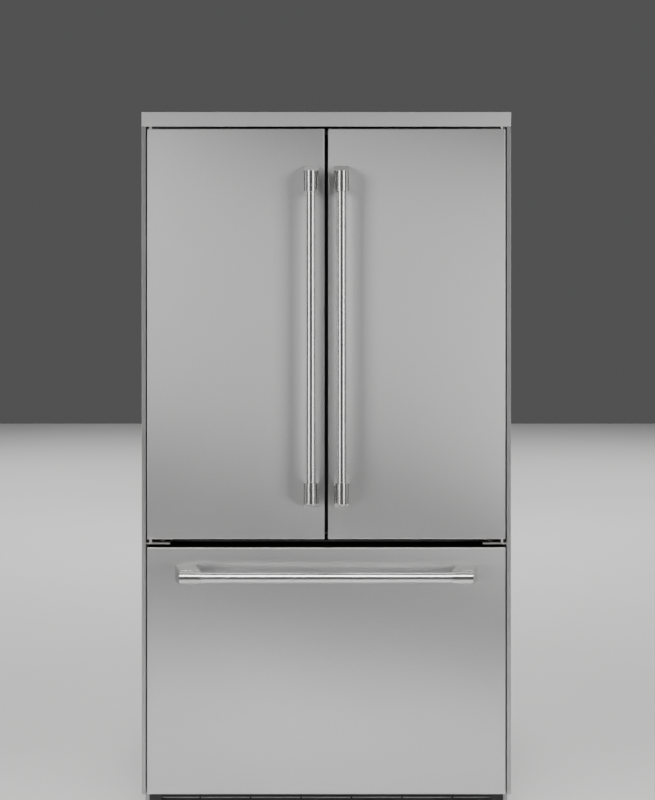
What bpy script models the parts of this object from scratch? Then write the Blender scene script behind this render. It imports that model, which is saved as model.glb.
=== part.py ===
"""French door refrigerator, in metres. X runs to the right, Y to the back, Z up.

The origin is the middle of the footprint at floor level. The doors face -Y. Two upper doors
swing between side walls that reach forward to the door fronts; a freezer drawer is below them.
"""

import math

import bmesh
import bpy
from mathutils import Vector

# ---- driving dimensions ----
HALF_WIDTH = 0.454  # half of the overall width
HEIGHT = 1.768
FRONT = -0.321  # plane of the door fronts
BACK = 0.3865
CASE_FRONT = -0.239  # face that the gaskets close against
WALL = 0.010  # side wall of the case
GAP = 0.0003  # between pieces that touch
SHEET = 0.003  # steel panels
LINER = 0.003
EDGE_RADIUS = 0.003  # rounded edges of the door fronts

DOOR_OUTER = 0.441
DOOR_INNER = 0.004
DOOR_LOW = 0.717
DOOR_TOP = 1.727
DRAWER_LOW = 0.090
DRAWER_TOP = 0.697
SKIN_DEPTH = 0.0645
SKIN = 0.0015
DOOR_BACK = -0.249

RAIL_LOW = 1.732
PIVOT_X = 0.433
PIVOT_Y = -0.313
PIN_RADIUS = 0.004
PIN_HOLE = 0.0046

CAVITY_X = 0.395
FRIDGE_LOW = 0.755
FRIDGE_TOP = 1.705
CAVITY_BACK = 0.325
FREEZER_LOW = 0.135
FREEZER_TOP = 0.655
STEP_FRONT = 0.105  # where the freezer floor starts to rise over the compressor
STEP_BACK = 0.175
STEP_TOP = 0.335

BAR_RADIUS = 0.0125
FERRULE_RADIUS = 0.0145
FERRULE_LENGTH = 0.050
HANDLE_Y = -0.372  # centre line of every handle bar
HANDLE_X = 0.037
HANDLE_LOW = 0.815
HANDLE_TOP = 1.616
DRAWER_HANDLE_Z = 0.6355
DRAWER_HANDLE_HALF = 0.3525
POST_LEAN = 0.019  # the post's foot stands this much further out than its ferrule
POST_WIDTH = 0.035

TOE_BACK = -0.266  # front of the toe grille
SIDE_LOW = 0.012  # lower edge of the side walls
BASE_LOW = 0.030
BASE_TOP = 0.0915
REAR_LOW = 0.300  # where the rear panel ends and the machine cover starts
COVER_BACK = BACK - 0.006  # the machine cover is set in, so that its hoods stay inside the case
MULLION_LOW = 0.700
MULLION_TOP = 0.714

LEG_X = 0.400
LEG_Y = -0.200
FOOT_RADIUS = 0.018
STEM_RADIUS = 0.005
ROLLER_RADIUS = 0.020
ROLLER_X = 0.390
ROLLER_Y = 0.330

TOP_PLATE_Z = 1.7345  # underside of the top hinge plates
CENTRE_PLATE_Z = 0.7050
PLATE = 0.004
PIN_LENGTH = 0.036

DOOR_DIKE = (0.064, 0.386, 0.785, 1.680)  # raised ring of a door's inner panel: x, x, z, z
DRAWER_DIKE = (-0.340, 0.340, 0.160, 0.630)
BIN_INNER = 0.0655
BIN_OUTER = 0.3845
BIN_BACK = -0.2287
BIN_FRONT = -0.137
BIN_HEIGHT = 0.110
LEFT_BINS = (("lower", 0.860), ("upper", 1.260))
RIGHT_BINS = (("lower", 1.000),)
DAIRY_LOW = 1.480
DAIRY_TOP = 1.570
DAIRY_LID_TOP = 1.575
BIN_WALL = 0.003

SHELF_FRONT = -0.112
SHELF_BACK = 0.285
SHELF_X = 0.388
SHELF_LEVELS = (("upper", 1.440), ("lower", 1.210))
GLASS = 0.005
CRISPER_COVER_Z = 0.985
CRISPER_LOW = 0.768
CRISPER_TOP = 0.978
SLIDE_Z = 0.300
SLIDE_HEIGHT = 0.040
SLIDE_BACK = 0.090


# ---- materials ----
PALETTE = {
    "stainless": ((0.55, 0.55, 0.54), 0.32, 1.0),
    "case_paint": ((0.30, 0.30, 0.30), 0.45, 0.3),
    "galvanised": ((0.52, 0.53, 0.53), 0.45, 0.9),
    "liner": ((0.86, 0.87, 0.87), 0.35, 0.0),
    "foam": ((0.80, 0.74, 0.55), 0.90, 0.0),
    "black": ((0.015, 0.015, 0.017), 0.50, 0.0),
    "gasket": ((0.10, 0.10, 0.11), 0.65, 0.0),
    "clear": ((0.78, 0.84, 0.86), 0.10, 0.0),
    "glass": ((0.72, 0.82, 0.80), 0.05, 0.0),
    "zinc": ((0.50, 0.50, 0.48), 0.35, 0.9),
    "copper": ((0.60, 0.30, 0.18), 0.35, 0.9),
    "white": ((0.82, 0.82, 0.80), 0.45, 0.0),
    "rubber": ((0.03, 0.03, 0.03), 0.80, 0.0),
    "iron": ((0.03, 0.03, 0.035), 0.40, 0.4),
}


def make_material(name):
    colour, roughness, metallic = PALETTE[name]
    material = bpy.data.materials.new(name)
    material.use_nodes = True
    shader = material.node_tree.nodes["Principled BSDF"]
    shader.inputs["Base Color"].default_value = (*colour, 1.0)
    shader.inputs["Roughness"].default_value = roughness
    shader.inputs["Metallic"].default_value = metallic
    return material


# ---- mesh helpers ----
def finish_mesh(bm, name, finish, origin=(0.0, 0.0, 0.0), smooth=False):
    """Turn a bmesh in world coordinates into an object whose origin is at the given point."""
    bmesh.ops.recalc_face_normals(bm, faces=bm.faces)
    bmesh.ops.translate(bm, verts=bm.verts, vec=-Vector(origin))
    mesh = bpy.data.meshes.new(name)
    bm.to_mesh(mesh)
    bm.free()
    if smooth:
        mesh.shade_smooth()
        mesh.set_sharp_from_angle(angle=math.radians(35))
    mesh.materials.append(make_material(finish))
    piece = bpy.data.objects.new(name, mesh)
    piece.location = origin
    bpy.context.collection.objects.link(piece)
    return piece


def swap(point, axis):
    """Point (u, v, w) with w along the axis, and u, v along the other two in XYZ order."""
    u, v, w = point
    return {"X": (w, u, v), "Y": (u, w, v), "Z": (u, v, w)}[axis]


def rounded(u0, u1, v0, v1, radius, steps):
    """Corners of a rectangle, each rounded by an arc where a radius is given."""
    if radius <= 0:
        return [(u0, v0), (u1, v0), (u1, v1), (u0, v1)]
    points = []
    centres = ((u0, v0, 180), (u1, v0, 270), (u1, v1, 0), (u0, v1, 90))
    for u, v, start in centres:
        cu = u + radius if u == u0 else u - radius
        cv = v + radius if v == v0 else v - radius
        for step in range(steps + 1):
            angle = math.radians(start + 90 * step / steps)
            points.append((cu + radius * math.cos(angle), cv + radius * math.sin(angle)))
    return points


def loft(name, finish, sections, axis, closed=False, radius=0.0, steps=3, origin=(0, 0, 0)):
    """Join rectangles (u0, u1, v0, v1, w) or (..., radius) along an axis, capped or as a closed ring."""
    bm = bmesh.new()
    loops = []
    for section in sections:
        u0, u1, v0, v1, w = section[:5]
        corner = section[5] if len(section) > 5 else radius
        ring = [bm.verts.new(swap((u, v, w), axis)) for u, v in rounded(u0, u1, v0, v1, corner, steps)]
        loops.append(ring)
    pairs = list(zip(loops, loops[1:]))
    if closed:
        pairs.append((loops[-1], loops[0]))
    for low, high in pairs:
        count = len(low)
        for i in range(count):
            j = (i + 1) % count
            bm.faces.new((low[i], low[j], high[j], high[i]))
    if not closed:
        bm.faces.new(loops[0])
        bm.faces.new(loops[-1])
    return finish_mesh(bm, name, finish, origin)


def box(name, finish, x0, x1, y0, y1, z0, z1, origin=(0, 0, 0)):
    return loft(name, finish, [(x0, x1, y0, y1, z0), (x0, x1, y0, y1, z1)], "Z", origin=origin)


def prism(name, finish, outline, axis, low, high, origin=(0, 0, 0)):
    """Extrude a flat outline along an axis."""
    bm = bmesh.new()
    ends = []
    for w in (low, high):
        ends.append([bm.verts.new(swap((u, v, w), axis)) for u, v in outline])
    count = len(outline)
    for i in range(count):
        j = (i + 1) % count
        bm.faces.new((ends[0][i], ends[0][j], ends[1][j], ends[1][i]))
    bm.faces.new(ends[0])
    bm.faces.new(ends[1])
    return finish_mesh(bm, name, finish, origin)


def turned(name, finish, profile, centre, axis, segments=24, origin=None):
    """Spin a profile of (radius, position along the axis) round an axis through the centre."""
    bm = bmesh.new()
    rings = []
    for radius, along in profile:
        ring = []
        for i in range(segments):
            angle = 2 * math.pi * i / segments
            offset = swap((radius * math.cos(angle), radius * math.sin(angle), along), axis)
            ring.append(bm.verts.new(Vector(centre) + Vector(offset)))
        rings.append(ring)
    for low, high in zip(rings, rings[1:]):
        for i in range(segments):
            j = (i + 1) % segments
            bm.faces.new((low[i], low[j], high[j], high[i]))
    bm.faces.new(rings[0])
    bm.faces.new(rings[-1])
    return finish_mesh(bm, name, finish, origin or centre, smooth=True)


def tray(name, finish, outer, wall, axis, open_high, origin=(0, 0, 0), radius=0.0, steps=3):
    """Five-walled box, open at one end of an axis. outer is (u0, u1, v0, v1, w0, w1)."""
    u0, u1, v0, v1, w0, w1 = outer
    mouth, floor = (w1, w0) if open_high else (w0, w1)
    inner_floor = floor + wall if open_high else floor - wall
    inner = (u0 + wall, u1 - wall, v0 + wall, v1 - wall)
    inner_radius = max(radius - wall, 0.0005) if radius > 0 else 0.0
    sections = [
        (u0, u1, v0, v1, floor, radius),
        (u0, u1, v0, v1, mouth, radius),
        (*inner, mouth, inner_radius),
        (*inner, inner_floor, inner_radius),
    ]
    return loft(name, finish, sections, axis, steps=steps, origin=origin)


def helper(piece):
    """Keep a cutting or joining shape out of the model."""
    piece.hide_render = True
    piece.display_type = "WIRE"
    return piece


def combine(piece, tool, operation):
    modifier = piece.modifiers.new(f"{operation.lower()} {tool.name}", "BOOLEAN")
    modifier.object = helper(tool)
    modifier.operation = operation
    modifier.solver = "EXACT"
    return piece


def cut(piece, tool):
    return combine(piece, tool, "DIFFERENCE")


def join(piece, tool):
    return combine(piece, tool, "UNION")


def round_front_edges(piece):
    """Round the four outer edges of a front skin, on its mesh."""
    bm = bmesh.new()
    bm.from_mesh(piece.data)
    front = min(v.co.y for v in bm.verts)
    edges = [e for e in bm.edges if all(abs(v.co.y - front) < 1e-6 for v in e.verts)]
    bmesh.ops.bevel(
        bm, geom=edges, offset=EDGE_RADIUS, segments=3, profile=0.5, affect="EDGES", clamp_overlap=True
    )
    bm.to_mesh(piece.data)
    bm.free()


# ---- case ----
def build_case():
    side_outline = [
        (FRONT, DRAWER_LOW),
        (TOE_BACK, DRAWER_LOW),
        (TOE_BACK, SIDE_LOW),
        (BACK, SIDE_LOW),
        (BACK, HEIGHT),
        (CASE_FRONT, HEIGHT),
        (CASE_FRONT, RAIL_LOW - GAP),
        (FRONT, RAIL_LOW - GAP),
    ]
    inside = HALF_WIDTH - WALL
    prism("case_side_left", "case_paint", side_outline, "X", -HALF_WIDTH, -inside)
    prism("case_side_right", "case_paint", side_outline, "X", inside, HALF_WIDTH)
    fit = inside - GAP
    panel_low = HEIGHT - SHEET
    box("case_top_panel", "case_paint", -fit, fit, CASE_FRONT + GAP, BACK, panel_low, HEIGHT)
    box("case_rear_panel", "galvanised", -fit, fit, BACK - SHEET, BACK, REAR_LOW, panel_low - GAP)
    build_front_frame(fit)
    build_insulation(fit)
    build_liners()
    strip_front = CASE_FRONT - 0.011
    box("mullion_cover", "black", -fit, fit, strip_front, CASE_FRONT - GAP, MULLION_LOW, MULLION_TOP)
    build_top_rail()


def build_top_rail():
    """Open channel over the doors, with holes for the upper hinge pins."""
    rail_wall = 0.002
    outer = (-HALF_WIDTH, HALF_WIDTH, RAIL_LOW, HEIGHT, FRONT, CASE_FRONT - GAP)
    rail = tray("top_rail", "stainless", outer, rail_wall, "Y", True)
    reach = 0.010
    for side, tag in ((-1, "left"), (1, "right")):
        centre = (side * PIVOT_X, PIVOT_Y, RAIL_LOW)
        hole = [(PIN_HOLE, -reach), (PIN_HOLE, reach)]
        cut(rail, turned(f"rail_hole_{tag}", "black", hole, centre, "Z", 16))


def build_front_frame(fit):
    low = DRAWER_LOW + 0.0023
    top = HEIGHT - SHEET - GAP
    frame = box("front_frame", "case_paint", -fit, fit, CASE_FRONT, CASE_FRONT + SHEET, low, top)
    mouth = CAVITY_X - LINER
    before, behind = CASE_FRONT - 0.05, CASE_FRONT + 0.05
    for tag, floor, ceiling in (("fridge", FRIDGE_LOW, FRIDGE_TOP), ("freezer", FREEZER_LOW, FREEZER_TOP)):
        low, top = floor + LINER, ceiling - LINER
        cut(frame, box(f"{tag}_mouth_cut", "black", -mouth, mouth, before, behind, low, top))


def build_insulation(fit):
    front = CASE_FRONT + SHEET + GAP
    low = BASE_TOP + 0.0008
    rear = BACK - SHEET - GAP
    slope_start, slope_end = 0.135, 0.215
    foam_outline = [
        (front, low),
        (slope_start, low),
        (slope_end, REAR_LOW),
        (rear, REAR_LOW),
        (rear, HEIGHT - SHEET - GAP),
        (front, HEIGHT - SHEET - GAP),
    ]
    foam = prism("insulation", "foam", foam_outline, "X", -fit, fit)
    before = CASE_FRONT - 0.05
    cavity = (-CAVITY_X, CAVITY_X, before, CAVITY_BACK, FRIDGE_LOW, FRIDGE_TOP)
    cut(foam, box("fridge_cavity", "black", *cavity))
    cut(foam, prism("freezer_cavity", "black", freezer_outline(0.0, before), "X", -CAVITY_X, CAVITY_X))


def freezer_outline(inset, front):
    """Side outline of the freezer space, whose floor rises over the compressor."""
    return [
        (front, FREEZER_LOW + inset),
        (STEP_FRONT - 0.6 * inset, FREEZER_LOW + inset),
        (STEP_BACK - 0.6 * inset, STEP_TOP + inset),
        (CAVITY_BACK - inset, STEP_TOP + inset),
        (CAVITY_BACK - inset, FREEZER_TOP - inset),
        (front, FREEZER_TOP - inset),
    ]


def build_liners():
    front = CASE_FRONT + SHEET + GAP
    half = CAVITY_X - GAP
    outer = (-half, half, FRIDGE_LOW + GAP, FRIDGE_TOP - GAP, front, CAVITY_BACK - GAP)
    tray("fridge_liner", "liner", outer, LINER - GAP, "Y", False)
    shell = prism("freezer_liner", "liner", freezer_outline(GAP, front), "X", -half, half)
    hollow = CAVITY_X - LINER
    before = CASE_FRONT - 0.05
    cut(shell, prism("freezer_hollow", "black", freezer_outline(LINER, before), "X", -hollow, hollow))


def build_base():
    fit = HALF_WIDTH - WALL - GAP
    outer = (-fit, fit, CASE_FRONT + SHEET, COVER_BACK - SHEET - GAP, BASE_LOW, BASE_TOP)
    frame = tray("base_frame", "galvanised", outer, SHEET, "Z", True)
    for side, tag in ((-1, "left"), (1, "right")):
        build_leg(frame, side * LEG_X, tag)
        build_roller(frame, side * ROLLER_X, tag)
    grille_low, grille_top = SIDE_LOW + 0.003, DRAWER_LOW - 0.002
    grille = box("base_grille", "black", -fit, fit, TOE_BACK, TOE_BACK + 0.006, grille_low, grille_top)
    slots = 3
    slot_half, slot_height, slot_pitch, first_slot = 0.38, 0.010, 0.020, 0.026
    for row in range(slots):
        z = first_slot + row * slot_pitch
        slot = (-slot_half, slot_half, TOE_BACK - 0.01, TOE_BACK + 0.01, z, z + slot_height)
        cut(grille, box(f"grille_slot_{row}", "black", *slot))


def build_leg(frame, x, tag):
    """Levelling foot whose stem passes through the base frame."""
    stem_hole = STEM_RADIUS + 0.0012
    reach = 0.02
    centre = (x, LEG_Y, BASE_LOW)
    cut(frame, turned(f"leg_hole_{tag}", "black", [(stem_hole, -reach), (stem_hole, reach)], centre, "Z", 12))
    leg = [
        (FOOT_RADIUS - 0.002, 0.0),
        (FOOT_RADIUS, 0.002),
        (FOOT_RADIUS, 0.010),
        (STEM_RADIUS, 0.014),
        (STEM_RADIUS, 0.060),
    ]
    turned(f"levelling_leg_{tag}", "rubber", leg, (x, LEG_Y, 0.0), "Z", 16)


def build_roller(frame, x, tag):
    """Rear roller that stands through a slot in the base frame."""
    half_width, shoulder, chamfer = 0.014, 0.011, 0.002
    side_play, end_play = 0.004, 0.006
    half_x, half_y = half_width + side_play, ROLLER_RADIUS + end_play
    slot = (x - half_x, x + half_x, ROLLER_Y - half_y, ROLLER_Y + half_y, BASE_LOW - 0.01, BASE_LOW + 0.01)
    cut(frame, box(f"roller_slot_{tag}", "black", *slot))
    tyre = [
        (ROLLER_RADIUS - chamfer, -half_width),
        (ROLLER_RADIUS, -shoulder),
        (ROLLER_RADIUS, shoulder),
        (ROLLER_RADIUS - chamfer, half_width),
    ]
    turned(f"rear_roller_{tag}", "rubber", tyre, (x, ROLLER_Y, ROLLER_RADIUS), "X", 24)


# ---- hinges ----
def hinge_bracket(name, side, reach, front, rear, low, pin_span):
    """Flat plate with one pin that reaches into a door."""
    inner = 0.385
    x0, x1 = sorted((side * inner, side * reach))
    plate = box(name, "zinc", x0, x1, front, rear, low, low + PLATE)
    profile = [(PIN_RADIUS, pin_span[0]), (PIN_RADIUS, pin_span[1])]
    centre = (side * PIVOT_X, PIVOT_Y, low + PLATE / 2)
    join(plate, turned(f"{name}_pin", "zinc", profile, centre, "Z", 16))


def build_hinges():
    top_front, top_rear, top_reach = FRONT + 0.0025, CASE_FRONT - 2 * GAP, 0.4405
    centre_front, centre_rear, centre_reach = FRONT + 0.0015, CASE_FRONT - 0.0113, 0.4435
    down, up = (-PIN_LENGTH, 0.0), (0.0, PIN_LENGTH)
    for side, tag in ((-1, "left"), (1, "right")):
        top = f"top_hinge_{tag}"
        centre = f"centre_hinge_{tag}"
        hinge_bracket(top, side, top_reach, top_front, top_rear, TOP_PLATE_Z, down)
        hinge_bracket(centre, side, centre_reach, centre_front, centre_rear, CENTRE_PLATE_Z, up)


# ---- handles ----
def handle_post(name, foot_centre, along, outward):
    """Leaning foot under a ferrule. along is the bar's axis, outward points to the handle's end."""
    ferrule_centre = foot_centre - outward * POST_LEAN
    across = Vector((0, 1, 0)).cross(along)
    half = FERRULE_LENGTH / 2
    levels = (
        (FRONT - GAP, POST_WIDTH / 2, 0.0),
        (FRONT - 0.006, POST_WIDTH / 2, 0.10),
        (HANDLE_Y + 0.004, FERRULE_RADIUS * 0.86, 0.92),
    )
    bm = bmesh.new()
    rings = []
    for y, half_width, lean in levels:
        centre = foot_centre.lerp(ferrule_centre, lean)
        ring = []
        for u, v in ((-1, -1), (1, -1), (1, 1), (-1, 1)):
            point = centre + across * (u * half_width) + along * (v * half * 0.995)
            ring.append(bm.verts.new((point.x, y, point.z)))
        rings.append(ring)
    for low, high in zip(rings, rings[1:]):
        for i in range(4):
            j = (i + 1) % 4
            bm.faces.new((low[i], low[j], high[j], high[i]))
    bm.faces.new(rings[0])
    bm.faces.new(rings[-1])
    post = finish_mesh(bm, name, "stainless")
    chamfer = 0.002
    profile = [
        (FERRULE_RADIUS - chamfer, -half),
        (FERRULE_RADIUS, chamfer - half),
        (FERRULE_RADIUS, half - chamfer),
        (FERRULE_RADIUS - chamfer, half),
    ]
    axis = "Z" if abs(along.z) > 0.5 else "X"
    centre = (ferrule_centre.x, HANDLE_Y, ferrule_centre.z)
    join(post, turned(f"{name}_ferrule", "stainless", profile, centre, axis, 24))
    return post


def handle_bar(name, centre, axis, reach, posts):
    """Bar between two posts, all joined into one solid."""
    overlap = 0.010
    profile = [(BAR_RADIUS, -reach - overlap), (BAR_RADIUS, reach + overlap)]
    bar = turned(name, "stainless", profile, centre, axis, 24)
    for post in posts:
        join(bar, post)
    return bar


def build_handles():
    half = FERRULE_LENGTH / 2
    up = Vector((0, 0, 1))
    middle = (HANDLE_LOW + HANDLE_TOP) / 2
    reach = (HANDLE_TOP - HANDLE_LOW) / 2 - FERRULE_LENGTH
    for side, tag in ((-1, "left"), (1, "right")):
        x = side * HANDLE_X
        top = Vector((x, 0, HANDLE_TOP - half + POST_LEAN))
        low = Vector((x, 0, HANDLE_LOW + half - POST_LEAN))
        posts = (
            handle_post(f"{tag}_post_upper", top, up, up),
            handle_post(f"{tag}_post_lower", low, up, -up),
        )
        handle_bar(f"{tag}_door_handle", (x, HANDLE_Y, middle), "Z", reach, posts)
    right = Vector((1, 0, 0))
    foot = DRAWER_HANDLE_HALF - half + POST_LEAN
    posts = (
        handle_post("drawer_post_left", Vector((-foot, 0, DRAWER_HANDLE_Z)), right, -right),
        handle_post("drawer_post_right", Vector((foot, 0, DRAWER_HANDLE_Z)), right, right),
    )
    reach = DRAWER_HANDLE_HALF - FERRULE_LENGTH
    handle_bar("drawer_handle", (0, HANDLE_Y, DRAWER_HANDLE_Z), "X", reach, posts)


# ---- doors and drawer ----
def build_leaf(tag, x0, x1, low, top, origin, dike):
    """Skin, inner panel and gasket of a door or of the drawer front."""
    outer = (x0, x1, low, top, FRONT, FRONT + SKIN_DEPTH)
    skin = tray(f"{tag}_skin", "stainless", outer, SKIN, "Y", True, origin=origin)
    round_front_edges(skin)
    inset = 0.003
    back = FRONT + SKIN_DEPTH + GAP
    plate = (x0 + inset, x1 - inset, low + inset, top - inset)
    u0, u1, v0, v1 = dike
    rim = 0.012
    floor = DOOR_BACK - 0.004
    sections = [
        (*plate, back),
        (*plate, DOOR_BACK),
        (u0, u1, v0, v1, DOOR_BACK),
        (u0 + 0.002, u1 - 0.002, v0 + 0.002, v1 - 0.002, BIN_BACK - GAP),
        (u0 + rim, u1 - rim, v0 + rim, v1 - rim, BIN_BACK - GAP),
        (u0 + rim, u1 - rim, v0 + rim, v1 - rim, floor),
    ]
    loft(f"{tag}_inner_panel", "liner", sections, "Y", origin=origin)
    lip = 0.008
    width = 0.014
    front, rear = DOOR_BACK + GAP, CASE_FRONT - GAP
    g0 = (x0 + (0.002 if x0 > 0 else lip), x1 - (0.002 if x1 < 0 else lip), low + lip, top - lip)
    g1 = (g0[0] + width, g0[1] - width, g0[2] + width, g0[3] - width)
    ring = [(*g0, front), (*g0, rear), (*g1, rear), (*g1, front)]
    loft(f"{tag}_gasket", "gasket", ring, "Y", closed=True, origin=origin)
    return skin


def build_doors():
    reach = 0.008
    d0, d1, d_low, d_top = DOOR_DIKE
    for side, tag in ((-1, "left"), (1, "right")):
        x0, x1 = sorted((side * DOOR_INNER, side * DOOR_OUTER))
        u0, u1 = sorted((side * d0, side * d1))
        origin = (side * PIVOT_X, PIVOT_Y, 0.0)
        skin = build_leaf(f"{tag}_door", x0, x1, DOOR_LOW, DOOR_TOP, origin, (u0, u1, d_low, d_top))
        for end, z in (("top", DOOR_TOP), ("low", DOOR_LOW)):
            centre = (side * PIVOT_X, PIVOT_Y, z)
            hole = [(PIN_HOLE, -reach), (PIN_HOLE, reach)]
            cut(skin, turned(f"{tag}_skin_hole_{end}", "black", hole, centre, "Z", 16))
        b0, b1 = sorted((side * BIN_INNER, side * BIN_OUTER))
        for place, z in LEFT_BINS if tag == "left" else RIGHT_BINS:
            outer = (b0, b1, BIN_BACK, BIN_FRONT, z, z + BIN_HEIGHT)
            tray(f"{tag}_door_bin_{place}", "clear", outer, BIN_WALL, "Z", True, origin=origin, radius=0.012)
    build_dairy_bin()
    build_folding_mullion()


def build_dairy_bin():
    outer = (BIN_INNER, BIN_OUTER, BIN_BACK, BIN_FRONT, DAIRY_LOW, DAIRY_TOP)
    tray("dairy_bin", "clear", outer, BIN_WALL, "Z", True, radius=0.012)
    pivot = ((BIN_INNER + BIN_OUTER) / 2, BIN_BACK, DAIRY_LID_TOP)
    lid_low = DAIRY_TOP + 2 * GAP
    box("dairy_lid", "clear", BIN_INNER, BIN_OUTER, BIN_BACK, BIN_FRONT, lid_low, DAIRY_LID_TOP, origin=pivot)


def build_folding_mullion():
    """Bar between the doors, drawn folded back along the left door's edge."""
    thickness, width = 0.018, 0.0457
    x = -0.020
    y = DOOR_BACK + 0.0103
    low, top = 0.770, 1.690
    box("folding_mullion", "case_paint", x - thickness, x, y, y + width, low, top, origin=(x, y, 1.222))


def build_drawer():
    build_leaf("drawer", -DOOR_OUTER, DOOR_OUTER, DRAWER_LOW, DRAWER_TOP, (0, 0, 0), DRAWER_DIKE)
    bin_half, plastic = 0.363, 0.004
    deep_bin = (-bin_half, bin_half, -0.225, 0.095, 0.150, 0.420)
    tray("freezer_bin", "white", deep_bin, plastic, "Z", True, radius=0.020)
    basket_half = 0.362
    shallow = (-basket_half, basket_half, -0.215, 0.225, 0.450, 0.520)
    basket = tray("upper_basket", "white", shallow, plastic, "Z", True, radius=0.020)
    slots, pitch, slot_half = 5, 0.135, 0.045
    for i in range(slots):
        x = (i - (slots - 1) / 2) * pitch
        slot = (x - slot_half, x + slot_half, -0.25, 0.26, 0.470, 0.505)
        cut(basket, box(f"basket_slot_{i}", "black", *slot))
    build_slides()


def build_slides():
    top = SLIDE_Z + SLIDE_HEIGHT
    members = (
        ("moving", 0.3640, 0.3760, DOOR_BACK + GAP, 0.006),
        ("middle", 0.3765, 0.3900, -0.230, 0.0),
    )
    for side, tag in ((-1, "left"), (1, "right")):
        for part, near, far, front, inset in members:
            x0, x1 = sorted((side * near, side * far))
            box(f"slide_{part}_{tag}", "zinc", x0, x1, front, SLIDE_BACK, SLIDE_Z + inset, top - inset)


# ---- fresh-food space ----
def build_shelves():
    for level, z in SHELF_LEVELS:
        box(f"glass_shelf_{level}", "glass", -SHELF_X, SHELF_X, SHELF_FRONT, SHELF_BACK, z, z + GLASS)
    cover_x = 0.3915
    z = CRISPER_COVER_Z
    box("crisper_cover", "glass", -cover_x, cover_x, SHELF_FRONT, SHELF_BACK, z, z + GLASS)
    inner, outer, front, back = 0.006, 0.386, -0.116, 0.280
    for side, tag in ((-1, "left"), (1, "right")):
        x0, x1 = sorted((side * inner, side * outer))
        shell = (x0, x1, front, back, CRISPER_LOW, CRISPER_TOP)
        tray(f"crisper_{tag}", "clear", shell, BIN_WALL, "Z", True, radius=0.016)
    build_air_tower()


def build_air_tower():
    half, low, top, front, back = 0.070, 1.010, 1.640, 0.292, 0.3217
    tower = tray("air_tower", "liner", (-half, half, low, top, front, back), 0.003, "Y", True, radius=0.010)
    vents, first, pitch, vent_half, vent_height = 3, 1.100, 0.200, 0.045, 0.016
    for i in range(vents):
        z = first + i * pitch
        vent = (-vent_half, vent_half, front - 0.012, front + 0.008, z, z + vent_height)
        cut(tower, box(f"tower_vent_{i}", "black", *vent))


def build_controls():
    half, front, back, low, top = 0.130, -0.128, -0.050, 1.6760, 1.7017
    panel = box("control_panel", "black", -half, half, front, back, low, top)
    key_half, key_front, key_back, key_low, key_top = 0.030, -0.1300, -0.1255, 1.6810, 1.6970
    play = 0.0005
    around = (-key_half - play, key_half + play)
    pocket = (*around, front - 0.012, key_back + 0.002, key_low - play, key_top + play)
    cut(panel, box("button_pocket", "black", *pocket))
    key_centre = (0.0, key_front, (key_low + key_top) / 2)
    key = (-key_half, key_half, key_front, key_back, key_low, key_top)
    box("control_button", "white", *key, origin=key_centre)
    build_water_filter()


def build_water_filter():
    """Cartridge under the ceiling, turned by the tab on its front end."""
    x, y, z = 0.335, 0.100, 1.664
    length, body_radius, collar_radius = 0.200, 0.027, 0.029
    profile = [
        (0.016, -length),
        (body_radius, 0.010 - length),
        (body_radius, -0.030),
        (collar_radius, -0.026),
        (collar_radius, 0.0),
    ]
    body = turned("water_filter", "white", profile, (x, y, z), "Y", 20)
    tab_half, tab_height, tab_front, tab_back = 0.003, 0.014, -0.106, -0.090
    tab = (x - tab_half, x + tab_half, tab_front, tab_back, z - tab_height, z + tab_height)
    join(body, box("filter_tab", "white", *tab))


# ---- freezer machinery ----
def fan(name, centre, axis, radius, thickness):
    """Hub with five flat swept blades, as one solid."""
    blades = 5
    hub = radius * 0.36
    outline = []
    for i in range(blades):
        base = 2 * math.pi * i / blades
        for turn, r in ((0.10, hub), (0.28, radius), (0.95, radius), (0.88, hub)):
            angle = base + turn * 2 * math.pi / blades * 0.9
            outline.append((r * math.cos(angle), r * math.sin(angle)))
    piece = prism(name, "black", outline, axis, -thickness / 2, thickness / 2)
    piece.location = centre
    return piece


def build_freezer_machinery():
    half, front, back, low, top = 0.385, 0.250, 0.254, 0.345, 0.645
    cover = box("evaporator_cover", "liner", -half, half, front, back, low, top)
    vents, first, pitch, vent_half, vent_height = 4, 0.372, 0.022, 0.30, 0.010
    for i in range(vents):
        z = first + i * pitch
        vent = (-vent_half, vent_half, front - 0.01, back + 0.006, z, z + vent_height)
        cut(cover, box(f"cover_vent_{i}", "black", *vent))
    mouth_radius, fan_radius, fan_z = 0.052, 0.048, 0.560
    mouth = [(mouth_radius, -0.02), (mouth_radius, 0.02)]
    cut(cover, turned("fan_mouth", "black", mouth, (0, 0.252, fan_z), "Y", 24))
    fan("evaporator_fan", (0, 0.268, fan_z), "Y", fan_radius, 0.012)


def build_coil(name, finish, x0, x1, y0, y1, z0, z1, fins):
    """Finned block as a comb: upright fins standing on one header plate."""
    pitch = (x1 - x0) / fins
    fin = pitch * 0.35
    header = 0.012
    outline = [(x0, z0)]
    for i in range(fins):
        left = x0 + i * pitch
        outline += [(left, z1), (left + fin, z1), (left + fin, z0 + header), (left + pitch, z0 + header)]
    outline += [(x1, z1), (x1 + fin, z1), (x1 + fin, z0)]
    prism(name, finish, outline, "Y", y0, y1)


def build_machine_compartment():
    shell = [
        (0.050, 0.0),
        (0.078, 0.012),
        (0.080, 0.060),
        (0.080, 0.110),
        (0.066, 0.150),
        (0.030, 0.166),
        (0.010, 0.168),
    ]
    turned("compressor", "iron", shell, (-0.260, 0.285, 0.0465), "Z", 24)
    build_coil("condenser_coil", "copper", 0.100, 0.360, 0.200, 0.340, 0.070, 0.230, 10)
    fan("condenser_fan", (-0.020, 0.270, 0.155), "X", 0.062, 0.014)
    build_machine_cover()


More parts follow.
